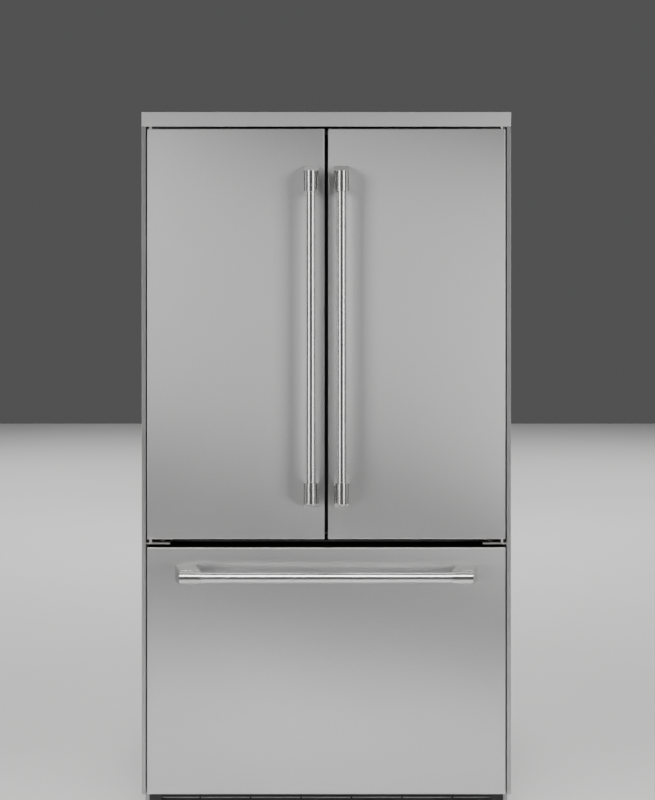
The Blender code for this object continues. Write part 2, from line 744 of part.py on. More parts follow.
def build_machine_cover():
    """Louvred rear cover with the mains inlet in it."""
    fit = HALF_WIDTH - WALL - GAP
    front = COVER_BACK - SHEET
    cover = box("machine_cover", "galvanised", -fit, fit, front, COVER_BACK, 0.034, REAR_LOW - GAP)
    before, behind = front - 0.01, COVER_BACK + 0.01
    rows, first, pitch, height = 6, 0.080, 0.030, 0.012
    centre, half = 0.215, 0.130
    for side, tag in ((-1, "left"), (1, "right")):
        x = side * centre
        for row in range(rows):
            z = first + row * pitch
            louvre = (x - half, x + half, before, behind, z, z + height)
            cut(cover, box(f"louvre_{tag}_{row}", "black", *louvre))
    x, z = 0.400, 0.125
    half_width, half_height, play = 0.0175, 0.0145, 0.0005
    across = (x - half_width - play, x + half_width + play)
    upright = (z - half_height - play, z + half_height + play)
    cut(cover, box("inlet_cut", "black", *across, before, behind, *upright))
    shell = (x - half_width, x + half_width, z - half_height, z + half_height)
    tray("mains_inlet", "black", (*shell, COVER_BACK - 0.020, COVER_BACK + 0.003), BIN_WALL, "Y", True)


def clear_scene():
    for piece in list(bpy.data.objects):
        bpy.data.objects.remove(piece, do_unlink=True)


clear_scene()
build_case()
build_base()
build_hinges()
build_handles()
build_doors()
build_drawer()
build_shelves()
build_controls()
build_freezer_machinery()
build_machine_compartment()
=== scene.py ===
"""Looks of the french door refrigerator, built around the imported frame. Metres, Z up, doors face -Y."""

from math import cos, pi, radians, sin

import bmesh
import bpy
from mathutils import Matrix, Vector


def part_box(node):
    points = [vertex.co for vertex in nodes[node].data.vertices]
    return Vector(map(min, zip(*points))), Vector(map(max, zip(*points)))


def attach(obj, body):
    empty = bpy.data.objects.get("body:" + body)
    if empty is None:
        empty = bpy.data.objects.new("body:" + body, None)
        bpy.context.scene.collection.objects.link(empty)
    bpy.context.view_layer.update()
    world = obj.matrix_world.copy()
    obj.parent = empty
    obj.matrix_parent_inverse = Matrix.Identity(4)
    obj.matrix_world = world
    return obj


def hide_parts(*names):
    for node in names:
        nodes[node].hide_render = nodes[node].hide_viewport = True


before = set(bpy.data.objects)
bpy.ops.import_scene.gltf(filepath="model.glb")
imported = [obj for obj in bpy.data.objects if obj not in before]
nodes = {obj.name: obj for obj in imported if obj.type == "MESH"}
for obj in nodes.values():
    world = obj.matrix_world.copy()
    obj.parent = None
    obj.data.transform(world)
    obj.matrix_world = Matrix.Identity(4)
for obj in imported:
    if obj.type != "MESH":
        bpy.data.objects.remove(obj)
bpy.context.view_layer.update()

GAP = 0.0004  # between pieces that touch
SINK = 0.0001  # by which a raised field starts below its sheet
SCREW = 0.0042  # head radius
SCREW_HEIGHT = 0.0022
SHARP = 32  # degrees between faces from which an edge is sharp
PRESSED = 12  # the same for sheets with low pressed fields
SIDES = ((-1, "left"), (1, "right"))
LEAVES = (("left_door", "left_door"), ("right_door", "right_door"), ("drawer", "freezer_drawer"))


# ---------------- materials
class Shader:
    """A Principled material whose texture nodes read object coordinates."""

    def __init__(self, name, colour, roughness, metallic=0, **sockets):
        self.material = bpy.data.materials.new(name)
        self.material.use_nodes = True
        self.tree = self.material.node_tree
        self.bsdf = self.tree.nodes["Principled BSDF"]
        self.colour = colour
        sockets.update(Base_Color=(*colour, 1), Roughness=roughness, Metallic=metallic)
        for socket, value in sockets.items():
            self.bsdf.inputs[socket.replace("_", " ")].default_value = value
        self.coords = self.tree.nodes.new("ShaderNodeTexCoord").outputs["Object"]
        self.normal = None

    def node(self, kind, inputs=(), **values):
        """New node with its attributes and then its constant inputs set."""
        made = self.tree.nodes.new(kind)
        for key, value in values.items():
            setattr(made, key, value)
        for socket, value in dict(inputs).items():
            made.inputs[socket].default_value = value
        return made

    def link(self, a, b):
        self.tree.links.new(a, b)

    def stretched(self, scale):
        mapping = self.node("ShaderNodeMapping", {"Scale": scale})
        self.link(self.coords, mapping.inputs["Vector"])
        return mapping.outputs["Vector"]

    def noise(self, scale, detail=3, stretch=(1, 1, 1)):
        made = self.node("ShaderNodeTexNoise", {"Scale": scale, "Detail": detail})
        self.link(self.stretched(stretch), made.inputs["Vector"])
        return made.outputs["Fac"]

    def cells(self, scale):
        made = self.node("ShaderNodeTexVoronoi", {"Scale": scale})
        self.link(self.stretched((1, 1, 1)), made.inputs["Vector"])
        return made

    def remap(self, value, low, high):
        """Bring a noise's usual range to low..high."""
        made = self.node("ShaderNodeMapRange", {"From Min": 0.3, "From Max": 0.7, "To Min": low, "To Max": high})
        self.link(value, made.inputs["Value"])
        return made.outputs["Result"]

    def rough(self, value, low, high):
        self.link(self.remap(value, low, high), self.bsdf.inputs["Roughness"])

    def tint(self, value, dark, light=1):
        """Vary the base colour between two shades of itself."""
        shades = [(*[min(1, c * shade) for c in self.colour], 1) for shade in (dark, light)]
        mix = self.node("ShaderNodeMix", {6: shades[0], 7: shades[1]}, data_type="RGBA")
        self.link(self.remap(value, 0, 1), mix.inputs[0])
        self.link(mix.outputs[2], self.bsdf.inputs["Base Color"])

    def bump(self, value, height, strength):
        made = self.node("ShaderNodeBump", {"Distance": height, "Strength": strength})
        self.link(value, made.inputs["Height"])
        if self.normal is not None:
            self.link(self.normal, made.inputs["Normal"])
        self.normal = made.outputs["Normal"]
        self.link(self.normal, self.bsdf.inputs["Normal"])


def brushed(name, colour, low, high, stretch, depth, across=0):
    """Rolled stainless: fine lines along one axis, a faint cloudiness and a little speckle."""
    s = Shader(name, colour, (low + high) / 2, 1, Anisotropic=across)
    lines = s.noise(60, 5, stretch)
    cloud = s.noise(2.2, 2)
    speckle = s.noise(420, 1)
    mixed = s.node("ShaderNodeMath", {1: 0.45}, operation="MULTIPLY_ADD")
    s.link(cloud, mixed.inputs[0])
    line_share = s.node("ShaderNodeMath", {1: 0.55}, operation="MULTIPLY")
    s.link(lines, line_share.inputs[0])
    s.link(line_share.outputs[0], mixed.inputs[2])
    s.rough(mixed.outputs[0], low, high)
    s.tint(speckle, 0.955, 1.02)
    s.bump(lines, depth, 0.5)
    s.bump(speckle, depth * 0.4, 0.3)
    return s.material


def finished(s, rough=None, tint=None, bump=None):
    """Each as (noise scale, detail, and the two values of the Shader's own method)."""
    for method, values in ((s.rough, rough), (s.tint, tint), (s.bump, bump)):
        if values:
            scale, detail, first, second = values
            method(s.noise(scale, detail), first, second)
    return s.material


def plastic(name, colour, roughness, grain=900, depth=0.00004, **sockets):
    """Moulded plastic: fine grain, slightly uneven gloss and shade."""
    s = Shader(name, colour, roughness, **sockets)
    return finished(s, (6, 3, roughness * 0.85, roughness * 1.15), (3, 2, 0.965, 1), (grain, 2, depth, 0.35))


def paint(name, colour, roughness, metallic):
    """Sprayed coat with a fine orange peel."""
    s = Shader(name, colour, roughness, metallic)
    return finished(s, (5, 3, roughness * 0.88, roughness * 1.12), (1600, 1, 0.93, 1.04), (380, 2, 0.00005, 0.35))


def galvanised(name):
    """Zinc coat with pale and dark crystals."""
    s = Shader(name, (0.5, 0.51, 0.52), 0.42, 0.85)
    s.tint(s.cells(130).outputs["Color"], 0.9, 1.06)
    return finished(s, (30, 3, 0.34, 0.52), None, (14, 3, 0.0003, 0.2))


def clear(name, colour, roughness, ior):
    """Glass or clear plastic, faintly uneven."""
    s = Shader(name, colour, roughness, IOR=ior, Transmission_Weight=1)
    return finished(s, (9, 3, roughness * 0.6, roughness * 1.5), None, (40, 2, 0.00003, 0.2))


def rubber(name, colour, roughness):
    """Matt rubber or vinyl with a fine grain."""
    s = Shader(name, colour, roughness)
    return finished(s, (14, 4, roughness * 0.85, roughness * 1.1), (20, 3, 0.8, 1.15), (700, 2, 0.00006, 0.4))


def foam_look(name):
    """Cut polyurethane foam with open cells."""
    s = Shader(name, (0.78, 0.7, 0.48), 0.9)
    s.bump(s.cells(160).outputs["Distance"], 0.0012, 0.6)
    return finished(s, None, (40, 5, 0.75, 1.1))


STEEL = (0.645, 0.643, 0.645)
BAR_STEEL = (0.68, 0.68, 0.675)
LAMP_GLOW = dict(Emission_Color=(1, 0.97, 0.92, 1), Emission_Strength=6)
# each look: its material, and the CAD material slot it matches, which piece() works out but doesn't apply
LOOKS = {
    "front": (brushed("stainless_sheet", STEEL, 0.41, 0.49, (14, 1, 0.03), 0.00003, across=0.85), "stainless"),
    "bar_v": (brushed("stainless_bar_upright", BAR_STEEL, 0.2, 0.28, (12, 12, 0.05), 0.00002), "stainless"),
    "bar_h": (brushed("stainless_bar_level", BAR_STEEL, 0.2, 0.3, (0.05, 12, 12), 0.00002), "stainless"),
    "cast": (brushed("stainless_casting", (0.6, 0.6, 0.595), 0.19, 0.27, (3, 3, 3), 0.00003), "stainless"),
    "case": (paint("case_paint_coat", (0.33, 0.33, 0.33), 0.42, 0.55), "case_paint"),
    "zinc_sheet": (galvanised("galvanised_sheet"), "galvanised_steel"),
    "liner": (plastic("liner_plastic", (0.84, 0.85, 0.85), 0.3), "white_liner"),
    "white": (plastic("white_moulding", (0.8, 0.8, 0.78), 0.38), "white_plastic"),
    "black": (plastic("black_moulding", (0.01, 0.01, 0.011), 0.52, 700, 0.00008), "black_plastic"),
    # end caps and mullion strip: real black trim, made near-black and dull to paint the shade in the gaps round the
    # leaves
    "cap": (plastic("black_end_cap_gap_shade", (0.004, 0.004, 0.004), 0.6, 700, 0.00008, Specular_IOR_Level=0.25),
            "black_plastic"),
    "gasket": (rubber("gasket_vinyl", (0.055, 0.055, 0.06), 0.55), "gasket_rubber"),
    "rubber": (rubber("foot_rubber", (0.025, 0.025, 0.025), 0.75), "black_rubber"),
    "clear": (clear("clear_moulding", (0.965, 0.985, 0.99), 0.05, 1.49), "clear_plastic"),
    "glass": (clear("tempered_glass", (0.95, 0.985, 0.97), 0.02, 1.52), "shelf_glass"),
    "lamp": (plastic("lamp_diffuser", (0.86, 0.86, 0.84), 0.35, **LAMP_GLOW), "white_plastic"),
    "foam": (foam_look("polyurethane_foam"), None),
    "zinc": (brushed("zinc_plate", (0.56, 0.56, 0.53), 0.3, 0.45, (2, 2, 2), 0.00004), "zinc_steel"),
    "enamel": (paint("black_enamel_coat", (0.02, 0.02, 0.022), 0.3, 0.2), "black_enamel"),
    "copper": (brushed("copper_tube", (0.72, 0.38, 0.24), 0.22, 0.4, (2, 2, 2), 0.00003), "copper"),
    "alu": (brushed("fin_aluminium", (0.72, 0.73, 0.74), 0.25, 0.4, (1, 1, 6), 0.00003), "copper"),
    "trim": (brushed("trim_aluminium", (0.7, 0.7, 0.7), 0.22, 0.32, (0.05, 6, 6), 0.00002), "clear_plastic"),
}


# ---------------- mesh helpers
def swap(point, axis):
    """Point (u, v, w) with w along the axis, and u, v along the other two in XYZ order."""
    u, v, w = point
    return {"X": (w, u, v), "Y": (u, w, v), "Z": (u, v, w)}[axis]


def placed(name, data):
    made = bpy.data.objects.new(name, data)
    bpy.context.scene.collection.objects.link(made)
    return made


def piece(name, bm, look, body="cabinet", stands_for=(), bevel=0, segments=2, sharp=SHARP, slot=None):
    """Finish a bmesh as a visible piece that rides on a body. The slot, its look's unless one is given, is worked
    out but not used.
    """
    bmesh.ops.recalc_face_normals(bm, faces=bm.faces)
    mesh = bpy.data.meshes.new(name)
    bm.to_mesh(mesh)
    bm.free()
    mesh.shade_smooth()
    material, own_slot = LOOKS[look]
    slot = slot or own_slot
    mesh.materials.append(material)
    made = placed(name, mesh)
    if bevel:
        modifier = made.modifiers.new("soft edges", "BEVEL")
        modifier.width = bevel
        modifier.segments = segments
        modifier.limit_method = "ANGLE"
        modifier.angle_limit = radians(sharp)
        modifier.harden_normals = True
    else:
        mesh.set_sharp_from_angle(angle=radians(sharp))
    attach(made, body)
    if stands_for:
        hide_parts(*stands_for)
    return made


def quarter(steps):
    """Angles of a quarter turn from 0 to 90 degrees, in radians."""
    return [radians(90 * step / steps) for step in range(steps + 1)]


def evenly(first, last, count):
    return [first + i * (last - first) / (count - 1) for i in range(count)]


def rounded(u0, u1, v0, v1, radius, steps=6):
    """Outline of a rectangle with round corners."""
    if radius <= 0:
        return [(u0, v0), (u1, v0), (u1, v1), (u0, v1)]
    corners = ((u0 + radius, v0 + radius, 180), (u1 - radius, v0 + radius, 270),
               (u1 - radius, v1 - radius, 0), (u0 + radius, v1 - radius, 90))
    points = []
    for cu, cv, start in corners:
        for step in range(steps + 1):
            angle = radians(start + 90 * step / steps)
            points.append((cu + radius * cos(angle), cv + radius * sin(angle)))
    return points


def bridge(bm, loops, closed=False):
    """Faces between one loop of vertices and the next; the two ends are capped or joined."""
    pairs = list(zip(loops, loops[1:]))
    if closed:
        pairs.append((loops[-1], loops[0]))
    for low, high in pairs:
        count = len(low)
        for i in range(count):
            j = (i + 1) % count
            bm.faces.new((low[i], low[j], high[j], high[i]))
    if not closed:
        bm.faces.new(loops[0])
        bm.faces.new(loops[-1])


def stepped(rect, levels):
    """Sections for loft: one rectangle at levels of (inset, w, corner radius)."""
    u0, u1, v0, v1 = rect
    return [(u0 + inset, u1 - inset, v0 + inset, v1 - inset, w, radius) for inset, w, radius in levels]


def loft(sections, axis, closed=False, steps=6, bm=None):
    """Rounded rectangles (u0, u1, v0, v1, w, radius) joined along an axis."""
    bm = bm or bmesh.new()
    loops = []
    for u0, u1, v0, v1, w, radius in sections:
        outline = rounded(u0, u1, v0, v1, radius, steps)
        loops.append([bm.verts.new(swap((u, v, w), axis)) for u, v in outline])
    bridge(bm, loops, closed)
    return bm


def bar(rect, low, high, radius, axis, steps=6, bm=None):
    """Straight length of one rounded rectangle."""
    return loft(stepped(rect, ((0, low, radius), (0, high, radius))), axis, steps=steps, bm=bm)


def slab(x0, x1, y0, y1, z0, z1, bm=None):
    return bar((x0, x1, y0, y1), z0, z1, 0, "Z", bm=bm)


def prism(outline, axis, low, high, bm=None):
    bm = bm or bmesh.new()
    bridge(bm, [[bm.verts.new(swap((u, v, w), axis)) for u, v in outline] for w in (low, high)])
    return bm


def circle(radius, count):
    """Points of a circle round the origin."""
    angles = [2 * pi * i / count for i in range(count)]
    return [(radius * cos(angle), radius * sin(angle)) for angle in angles]


def turned(profile, centre, axis, segments=48, bm=None):
    """Profile of (radius, position along the axis) spun round an axis through the centre."""
    bm = bm or bmesh.new()
    centre = Vector(centre)
    bridge(bm, [[bm.verts.new(centre + Vector(swap((u, v, along), axis))) for u, v in circle(radius, segments)]
                for radius, along in profile])
    return bm


def pan(rect, floor, mouth, wall, radius, fillet, axis, draft=0, steps=4):
    """Open box with round corners and a filleted floor; draft narrows it towards the floor."""
    way = 1 if mouth > floor else -1
    levels = []

    def ring(inset, w):
        levels.append((inset, w, max(radius - inset, 0.0006)))

    for angle in quarter(steps):
        ring(draft + fillet * (1 - sin(angle)), floor + way * fillet * (1 - cos(angle)))
    ring(0, mouth)
    ring(wall, mouth)
    inner = max(fillet - wall, 0.0012)
    for angle in reversed(quarter(steps)):
        ring(draft + wall + inner * (1 - sin(angle)), floor + way * (wall + inner * (1 - cos(angle))))
    return loft(stepped(rect, levels), axis, steps=steps)


def tube(name, points, radius):
    """Smooth copper pipe on the cabinet, along a route."""
    curve = bpy.data.curves.new(name, "CURVE")
    curve.dimensions = "3D"
    curve.bevel_depth = radius
    curve.bevel_resolution = 4
    curve.use_fill_caps = True
    spline = curve.splines.new("NURBS")
    spline.points.add(len(points) - 1)
    for target, point in zip(spline.points, points):
        target.co = (*point, 1)
    spline.order_u = 3
    spline.use_endpoint_u = True
    curve.resolution_u = 6
    material, slot = LOOKS["copper"]
    curve.materials.append(material)
    made = placed(name, curve)
    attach(made, "cabinet")


def screw_head(bm, place, axis, radius):
    """Pan-head screw with a dished top."""
    shares = ((1, 0), (1, 0.45), (0.72, 0.9), (0.3, 1), (0.22, 0.45))
    turned([(radius * out, SCREW_HEIGHT * up) for out, up in shares], place, axis, 20, bm)


def screws(name, places, axis="Y", radius=SCREW):
    heads = bmesh.new()
    for place in places:
        screw_head(heads, place, axis, radius)
    piece(name, heads, "zinc")


def spans(node):
    """x0, x1, y0, y1, z0, z1 of a CAD node."""
    low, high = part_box(node)
    return low.x, high.x, low.y, high.y, low.z, high.z


def dress(look, node):
    """Give a CAD node whose shape stays its better material."""
    materials = nodes[node].data.materials
    materials.clear()
    materials.append(LOOKS[look][0])


# ---------------- fronts
FRONT_RADIUS = 0.003
SKIN = 0.0012
CAP = 0.0006  # thickness of the black trims on a leaf's flanges
CAP_GAP = CAP * 0.2


def front_skin(tag, body):
    """Stainless pan: soft outer edges, returned flanges, open at the back."""
    node = f"{tag}_skin"
    x0, x1, y0, y1, z0, z1 = spans(node)
    levels = []
    for angle in quarter(6):
        rise = FRONT_RADIUS * sin(angle)
        levels.append((FRONT_RADIUS - rise, y0 + FRONT_RADIUS * (1 - cos(angle)), 0.0008 + rise * 0.2))
    levels += [(0, y1, 0.0014), (SKIN, y1, 0.0008), (SKIN, y0 + 2 * SKIN, 0.0008)]
    bm = loft(stepped((x0, x1, z0, z1), levels), "Y", steps=3)
    piece(f"{tag}_front", bm, "front", body, (node,), sharp=40)


def edge_trims():
    """Black end caps on the flanges that face the gaps, made darker and duller than plain black plastic to paint the
    shade in those gaps, and soft lips that close the gap between the doors.
    """
    cap_end = 0.424
    lip_root, lip_tip, lip_wall = 0.0068, 0.0003, 0.0014
    lip_depth = {"left": 0.003, "right": 0.005}
    for side, tag in SIDES:
        body = f"{tag}_door"
        low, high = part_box(f"{tag}_door_skin")
        y0, y1 = low.y + 0.004, high.y - 0.001
        inner = low.x if side > 0 else high.x
        x0, x1 = sorted((inner + side * 0.002, side * cap_end))
        caps = slab(x0, x1, y0, y1, low.z - CAP, low.z - CAP_GAP)
        slab(x0, x1, y0, y1, high.z + CAP_GAP, high.z + CAP, caps)
        a, b = sorted((inner - side * CAP, inner - side * CAP_GAP))
        slab(a, b, y0, y1, low.z + 0.002, high.z - 0.002, caps)
        piece(f"{tag}_door_end_caps_gap_shade", caps, "cap", body)
        depth = high.y + lip_depth[tag]
        a, b = sorted((-side * lip_tip, side * lip_root))
        lip = bar((a, b, depth, depth + lip_wall), low.z + 0.004, high.z - 0.004, 0.0005, "Z", 4)
        piece(f"{tag}_door_centre_lip", lip, "gasket", body)
    low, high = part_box("drawer_skin")
    x0, x1, y0, y1 = low.x + 0.002, high.x - 0.002, low.y + 0.004, high.y - 0.001
    caps = slab(x0, x1, y0, y1, high.z + CAP_GAP, high.z + CAP)
    slab(x0, x1, y0, y1, low.z - CAP, low.z - CAP_GAP, caps)
    piece("drawer_end_caps_gap_shade", caps, "cap", "freezer_drawer")


for leaf, leaf_body in LEAVES:
    front_skin(leaf, leaf_body)
edge_trims()


# ---------------- handles
BAR_RADIUS = 0.0125
FERRULE_RADIUS = 0.0145
FERRULE_LENGTH = 0.05
POST_LEAN = 0.019
POST_HALF = 0.018
POST_FLARE = 0.0004
SHOULDER = ((0.05, 0.003), (0.35, 0.0042), (0.7, 0.005), (0.92, 0.0062), (1, 0.008))  # share out, way back


def post_profile(bar_y, foot_y):
    """Half width and y of a handle end: round in front, shouldered behind the bar, straight down to the foot."""
    profile = [(FERRULE_RADIUS * sin(angle), bar_y - FERRULE_RADIUS * cos(angle)) for angle in quarter(22)]
    for out, back in SHOULDER:
        profile.append((FERRULE_RADIUS + (POST_HALF - FERRULE_RADIUS) * out, bar_y + back))
    start_y = profile[-1][1]
    rungs = 5
    for step in range(1, rungs + 1):
        profile.append((POST_HALF + POST_FLARE * step / rungs, start_y + (foot_y - start_y) * step / rungs))
    return profile


def casting(name, body, upright, end, across_centre, bar_y, levels, foot_y):
    """Handle end: a sleeve round the bar, drawn out into a foot that leans towards the handle's end."""
    lean_from = bar_y - 0.002
    bm = bmesh.new()
    ends = []
    for level in levels:
        rows = []
        for width, y in post_profile(bar_y, foot_y):
            share = min(1, max(0, (y - lean_from) / (foot_y - bar_y)))
            w = level + end * POST_LEAN * share
            width = max(width, 0.0002)
            us = (across_centre - width, across_centre + width)
            rows.append([bm.verts.new((u, y, w) if upright else (w, y, u)) for u in us])
        ends.append(rows)
    for rows in ends:
        for a, b in zip(rows, rows[1:]):
            bm.faces.new((a[0], a[1], b[1], b[0]))
    low, high = ends
    for i in range(len(low) - 1):
        for side in (0, 1):
            bm.faces.new((low[i][side], low[i + 1][side], high[i + 1][side], high[i][side]))
    for i in (0, -1):
        bm.faces.new((low[i][0], low[i][1], high[i][1], high[i][0]))
    piece(name, bm, "cast", body, bevel=0.0013, segments=4, sharp=35)


def handle(tag, node, body, upright):
    """Tube with a shallow groove near each end, held by two castings."""
    low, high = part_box(node)
    bar_y = low.y + FERRULE_RADIUS
    along, across = ("z", "x") if upright else ("x", "z")
    middle = (getattr(low, across) + getattr(high, across)) / 2
    first, last = getattr(low, along) + POST_LEAN, getattr(high, along) - POST_LEAN
    for mark, end, levels in (("a", -1, (first, first + FERRULE_LENGTH)), ("b", 1, (last - FERRULE_LENGTH, last))):
        casting(f"{tag}_handle_end_{mark}", body, upright, end, middle, bar_y, levels, high.y)
    a, b = first + FERRULE_LENGTH - 0.001, last - FERRULE_LENGTH + 0.001
    centre, half = (a + b) / 2, (b - a) / 2
    groove, slope, deep = 0.0022, 0.0006, BAR_RADIUS - 0.0012
    profile = [(deep, -half), (deep, groove - half), (BAR_RADIUS, groove + slope - half),
               (BAR_RADIUS, half - groove - slope), (deep, half - groove), (deep, half)]
    place, axis = ((middle, bar_y, centre), "Z") if upright else ((centre, bar_y, middle), "X")
    piece(f"{tag}_handle_tube", turned(profile, place, axis, 64), "bar_v" if upright else "bar_h", body, (node,))


handle("left", "left_door_handle", "left_door", True)
handle("right", "right_door_handle", "right_door", True)
handle("drawer", "drawer_handle", "freezer_drawer", False)


# ---------------- case
def case_outside():
    toe_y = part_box("base_grille")[0].y
    drawer_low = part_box("drawer_skin")[0].z
    case_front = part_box("front_frame")[0].y
    rail_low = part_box("top_rail")[0].z - GAP
    for _, tag in SIDES:
        node = f"case_side_{tag}"
        x0, x1, y0, y1, z0, z1 = spans(node)
        outline = [(y0, drawer_low), (toe_y, drawer_low), (toe_y, z0), (y1, z0), (y1, z1),
                   (case_front, z1), (case_front, rail_low), (y0, rail_low)]
        piece(f"side_wall_{tag}", prism(outline, "X", x0, x1), "case", stands_for=(node,), bevel=0.0012, segments=3)
    x0, x1, y0, y1, z0, z1 = spans("top_rail")
    wall = 0.002
    levels = ((0, y0, 0), (0, y1, 0), (wall, y1, 0), (wall, y0 + wall, 0))
    bm = loft(stepped((x0, x1, z0, z1), levels), "Y")
    piece("top_rail_cover", bm, "front", stands_for=("top_rail",), bevel=0.0014, segments=4)
    x0, x1, y0, y1, z0, z1 = spans("case_top_panel")
    rib = 0.0006
    bm = slab(x0, x1, y0, y1, z0, z1 - rib)
    fields = 3
    pitch = (x1 - x0) / fields
    for i in range(fields):
        field = (x0 + i * pitch + 0.05, x0 + (i + 1) * pitch - 0.05, y0 + 0.07, y1 - 0.07)
        loft(stepped(field, ((0, z1 - rib - SINK, 0.02), (0.002, z1, 0.018))), "Z", bm=bm)
    for x in (x0 + 0.02, x1 - 0.02):
        for y in (y0 + 0.03, y1 - 0.03):
            screw_head(bm, (x, y, z1 - SCREW_HEIGHT), "Z", SCREW)
    piece("top_panel_pressed", bm, "case", stands_for=("case_top_panel",), sharp=PRESSED)


def case_back():
    x0, x1, y0, y1, z0, z1 = spans("case_rear_panel")
    sheet = 0.0012
    bm = slab(x0, x1, y0, y0 + sheet, z0, z1)
    columns, rows, margin = 2, 4, 0.045
    wide = (x1 - x0 - margin) / columns
    tall = (z1 - z0 - 2 * margin - margin) / rows
    base, crest = y0 + sheet - SINK, y1 - 0.0003
    for column in range(columns):
        for row in range(rows):
            u0, v0 = x0 + margin + column * wide, z0 + margin + row * tall
            field = (u0, u0 + wide - margin, v0, v0 + tall - margin)
            levels = ((0, base, 0.03), (0.004, crest, 0.027), (0.012, crest, 0.02), (0.016, base, 0.018))
            loft(stepped(field, levels), "Y", bm=bm)
    piece("rear_panel_pressed", bm, "zinc_sheet", stands_for=("case_rear_panel",), sharp=PRESSED)
    levels = evenly(z0 + 0.02, z1 - 0.02, 6)
    screws("rear_panel_screws", [(x, y1 - 0.0024, z) for z in levels for x in (x0 + 0.012, x1 - 0.012)])
    dress("zinc_sheet", "machine_cover")
    x0, x1, _, y1, z0, z1 = spans("machine_cover")
    hoods = bmesh.new()
    louvre_low, louvre_pitch, louvre_half, louvre_x = 0.092, 0.03, 0.132, 0.215
    for i in range(6):
        z = louvre_low + i * louvre_pitch
        outline = [(y1 - 0.0002, z + 0.006), (y1 - 0.0002, z - 0.006),
                   (y1 + 0.0048, z - 0.0075), (y1 + 0.0056, z - 0.005)]
        for side, _ in SIDES:
            prism(outline, "X", side * louvre_x - louvre_half, side * louvre_x + louvre_half, hoods)
    piece("louvre_hoods", hoods, "zinc_sheet", bevel=0.0008)
    columns = evenly(x0 + 0.02, x1 - 0.02, 5)
    screws("cover_screws", [(x, y1, z) for x in columns for z in (z1 - 0.012, z0 + 0.012)])
    x0, x1, y0, y1, z0, z1 = spans("mains_inlet")
    shell = pan((x0, x1, z0, z1), y0, y1, 0.003, 0.004, 0.0015, "Y")
    piece("inlet_shell", shell, "black", stands_for=("mains_inlet",))
    pins = bmesh.new()
    for dx, dz in ((-0.007, -0.003), (0, 0.004), (0.007, -0.003)):
        x, z = (x0 + x1) / 2 + dx, (z0 + z1) / 2 + dz
        bar((x - 0.001, x + 0.001, z - 0.002, z + 0.002), y0 + 0.003, y1 - 0.004, 0.0004, "Y", 2, pins)
    piece("inlet_pins", pins, "zinc")


def toe_and_feet():
    x0, x1, y0, y1, z0, z1 = spans("base_grille")
    rim, end = 0.009, 0.03
    opening = (x0 + end, x1 - end, z0 + rim, z1 - rim)
    sections = stepped((x0, x1, z0, z1), ((0, y0, 0.002), (0, y1, 0.002)))
    bm = loft(sections + stepped(opening, ((0, y1, 0.003), (0, y0, 0.003))), "Y", closed=True, steps=3)
    front, back = y0 + 0.0008, y1 - 0.0004
    fins, posts = 6, 7
    for z in evenly(z0 + rim, z1 - rim, fins + 1)[1:-1]:
        outline = [(front, z - 0.0022), (back, z - 0.0002), (back, z + 0.0024), (front, z + 0.0012)]
        prism(outline, "X", x0 + end - 0.002, x1 - end + 0.002, bm)
    for x in evenly(x0, x1, posts + 1)[1:-1]:
        slab(x - 0.002, x + 0.002, y1 - 0.0025, y1 - 0.0002, z0 + rim - 0.001, z1 - rim + 0.001, bm)
    piece("toe_grille", bm, "black", stands_for=("base_grille",), bevel=0.0004)
    for _, tag in SIDES:
        levelling_leg(tag)
        rear_roller(tag)
    dress("zinc_sheet", "base_frame")
    x0, x1, y0, _, z0, _ = spans("base_frame")
    bars = bmesh.new()
    top, bottom = z0 + GAP, z0 - 0.006
    for y in (y0 + 0.1, y0 + 0.3, y0 + 0.48):
        outline = [(y - 0.02, top), (y - 0.014, bottom), (y + 0.014, bottom), (y + 0.02, top)]
        prism(outline, "X", x0 + 0.12, x1 - 0.12, bars)
    piece("base_stiffeners", bars, "zinc_sheet", bevel=0.001)


def levelling_leg(tag):
    """Rubber pad under a threaded stem with a hexagon at its foot."""
    node = f"levelling_leg_{tag}"
    low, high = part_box(node)
    centre = ((low.x + high.x) / 2, (low.y + high.y) / 2, 0)
    pad = [(0.014, 0), (0.0172, 0.0014), (0.018, 0.004), (0.018, 0.0085), (0.0165, 0.0102), (0.01, 0.0112)]
    piece(f"foot_pad_{tag}", turned(pad, centre, "Z", 40), "rubber", node, (node,))
    stem = [(0.0046, 0.0116), (0.0046, 0.0195)]
    threads, root, crest = 26, 0.0042, 0.005
    pitch = (high.z - 0.021) / threads
    for i in range(threads):
        z = 0.02 + i * pitch
        stem += [(root, z), (crest, z + pitch * 0.5)]
    stem.append((0.004, high.z))
    bm = turned(stem, centre, "Z", 24)
    hexagon = [(0.0095, 0.0114), (0.0098, 0.012), (0.0098, 0.017), (0.0094, 0.0178)]
    piece(f"foot_stem_{tag}", turned(hexagon, centre, "Z", 6, bm), "zinc", node)


def rear_roller(tag):
    """Rubber wheel on an axle between two plates."""
    node = f"rear_roller_{tag}"
    low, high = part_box(node)
    centre = (low + high) / 2
    r, half = (high.z - low.z) / 2, (high.x - low.x) / 2
    edge = [(0.0062, 0.001), (0.0085, 0), (r - 0.004, 0), (r - 0.001, 0.0012), (r, 0.004)]
    tyre = [(radius, inset - half) for radius, inset in edge]
    tyre += [(radius, half - inset) for radius, inset in reversed(edge)]
    piece(f"roller_wheel_{tag}", turned(tyre, centre, "X", 48), "rubber", node, (node,))
    bracket = bmesh.new()
    y, top, bottom = centre.y, 0.044, centre.z - 0.006
    outline = [(y - 0.014, top), (y - 0.007, bottom), (y + 0.007, bottom), (y + 0.014, top)]
    for side, _ in SIDES:
        x = centre.x + side * (half + 0.0016)
        prism(outline, "X", x - 0.0008, x + 0.0008, bracket)
    turned([(0.003, -half - 0.0035), (0.003, half + 0.0035)], centre, "X", 16, bracket)
    piece(f"roller_bracket_{tag}", bracket, "zinc", bevel=0.0003)


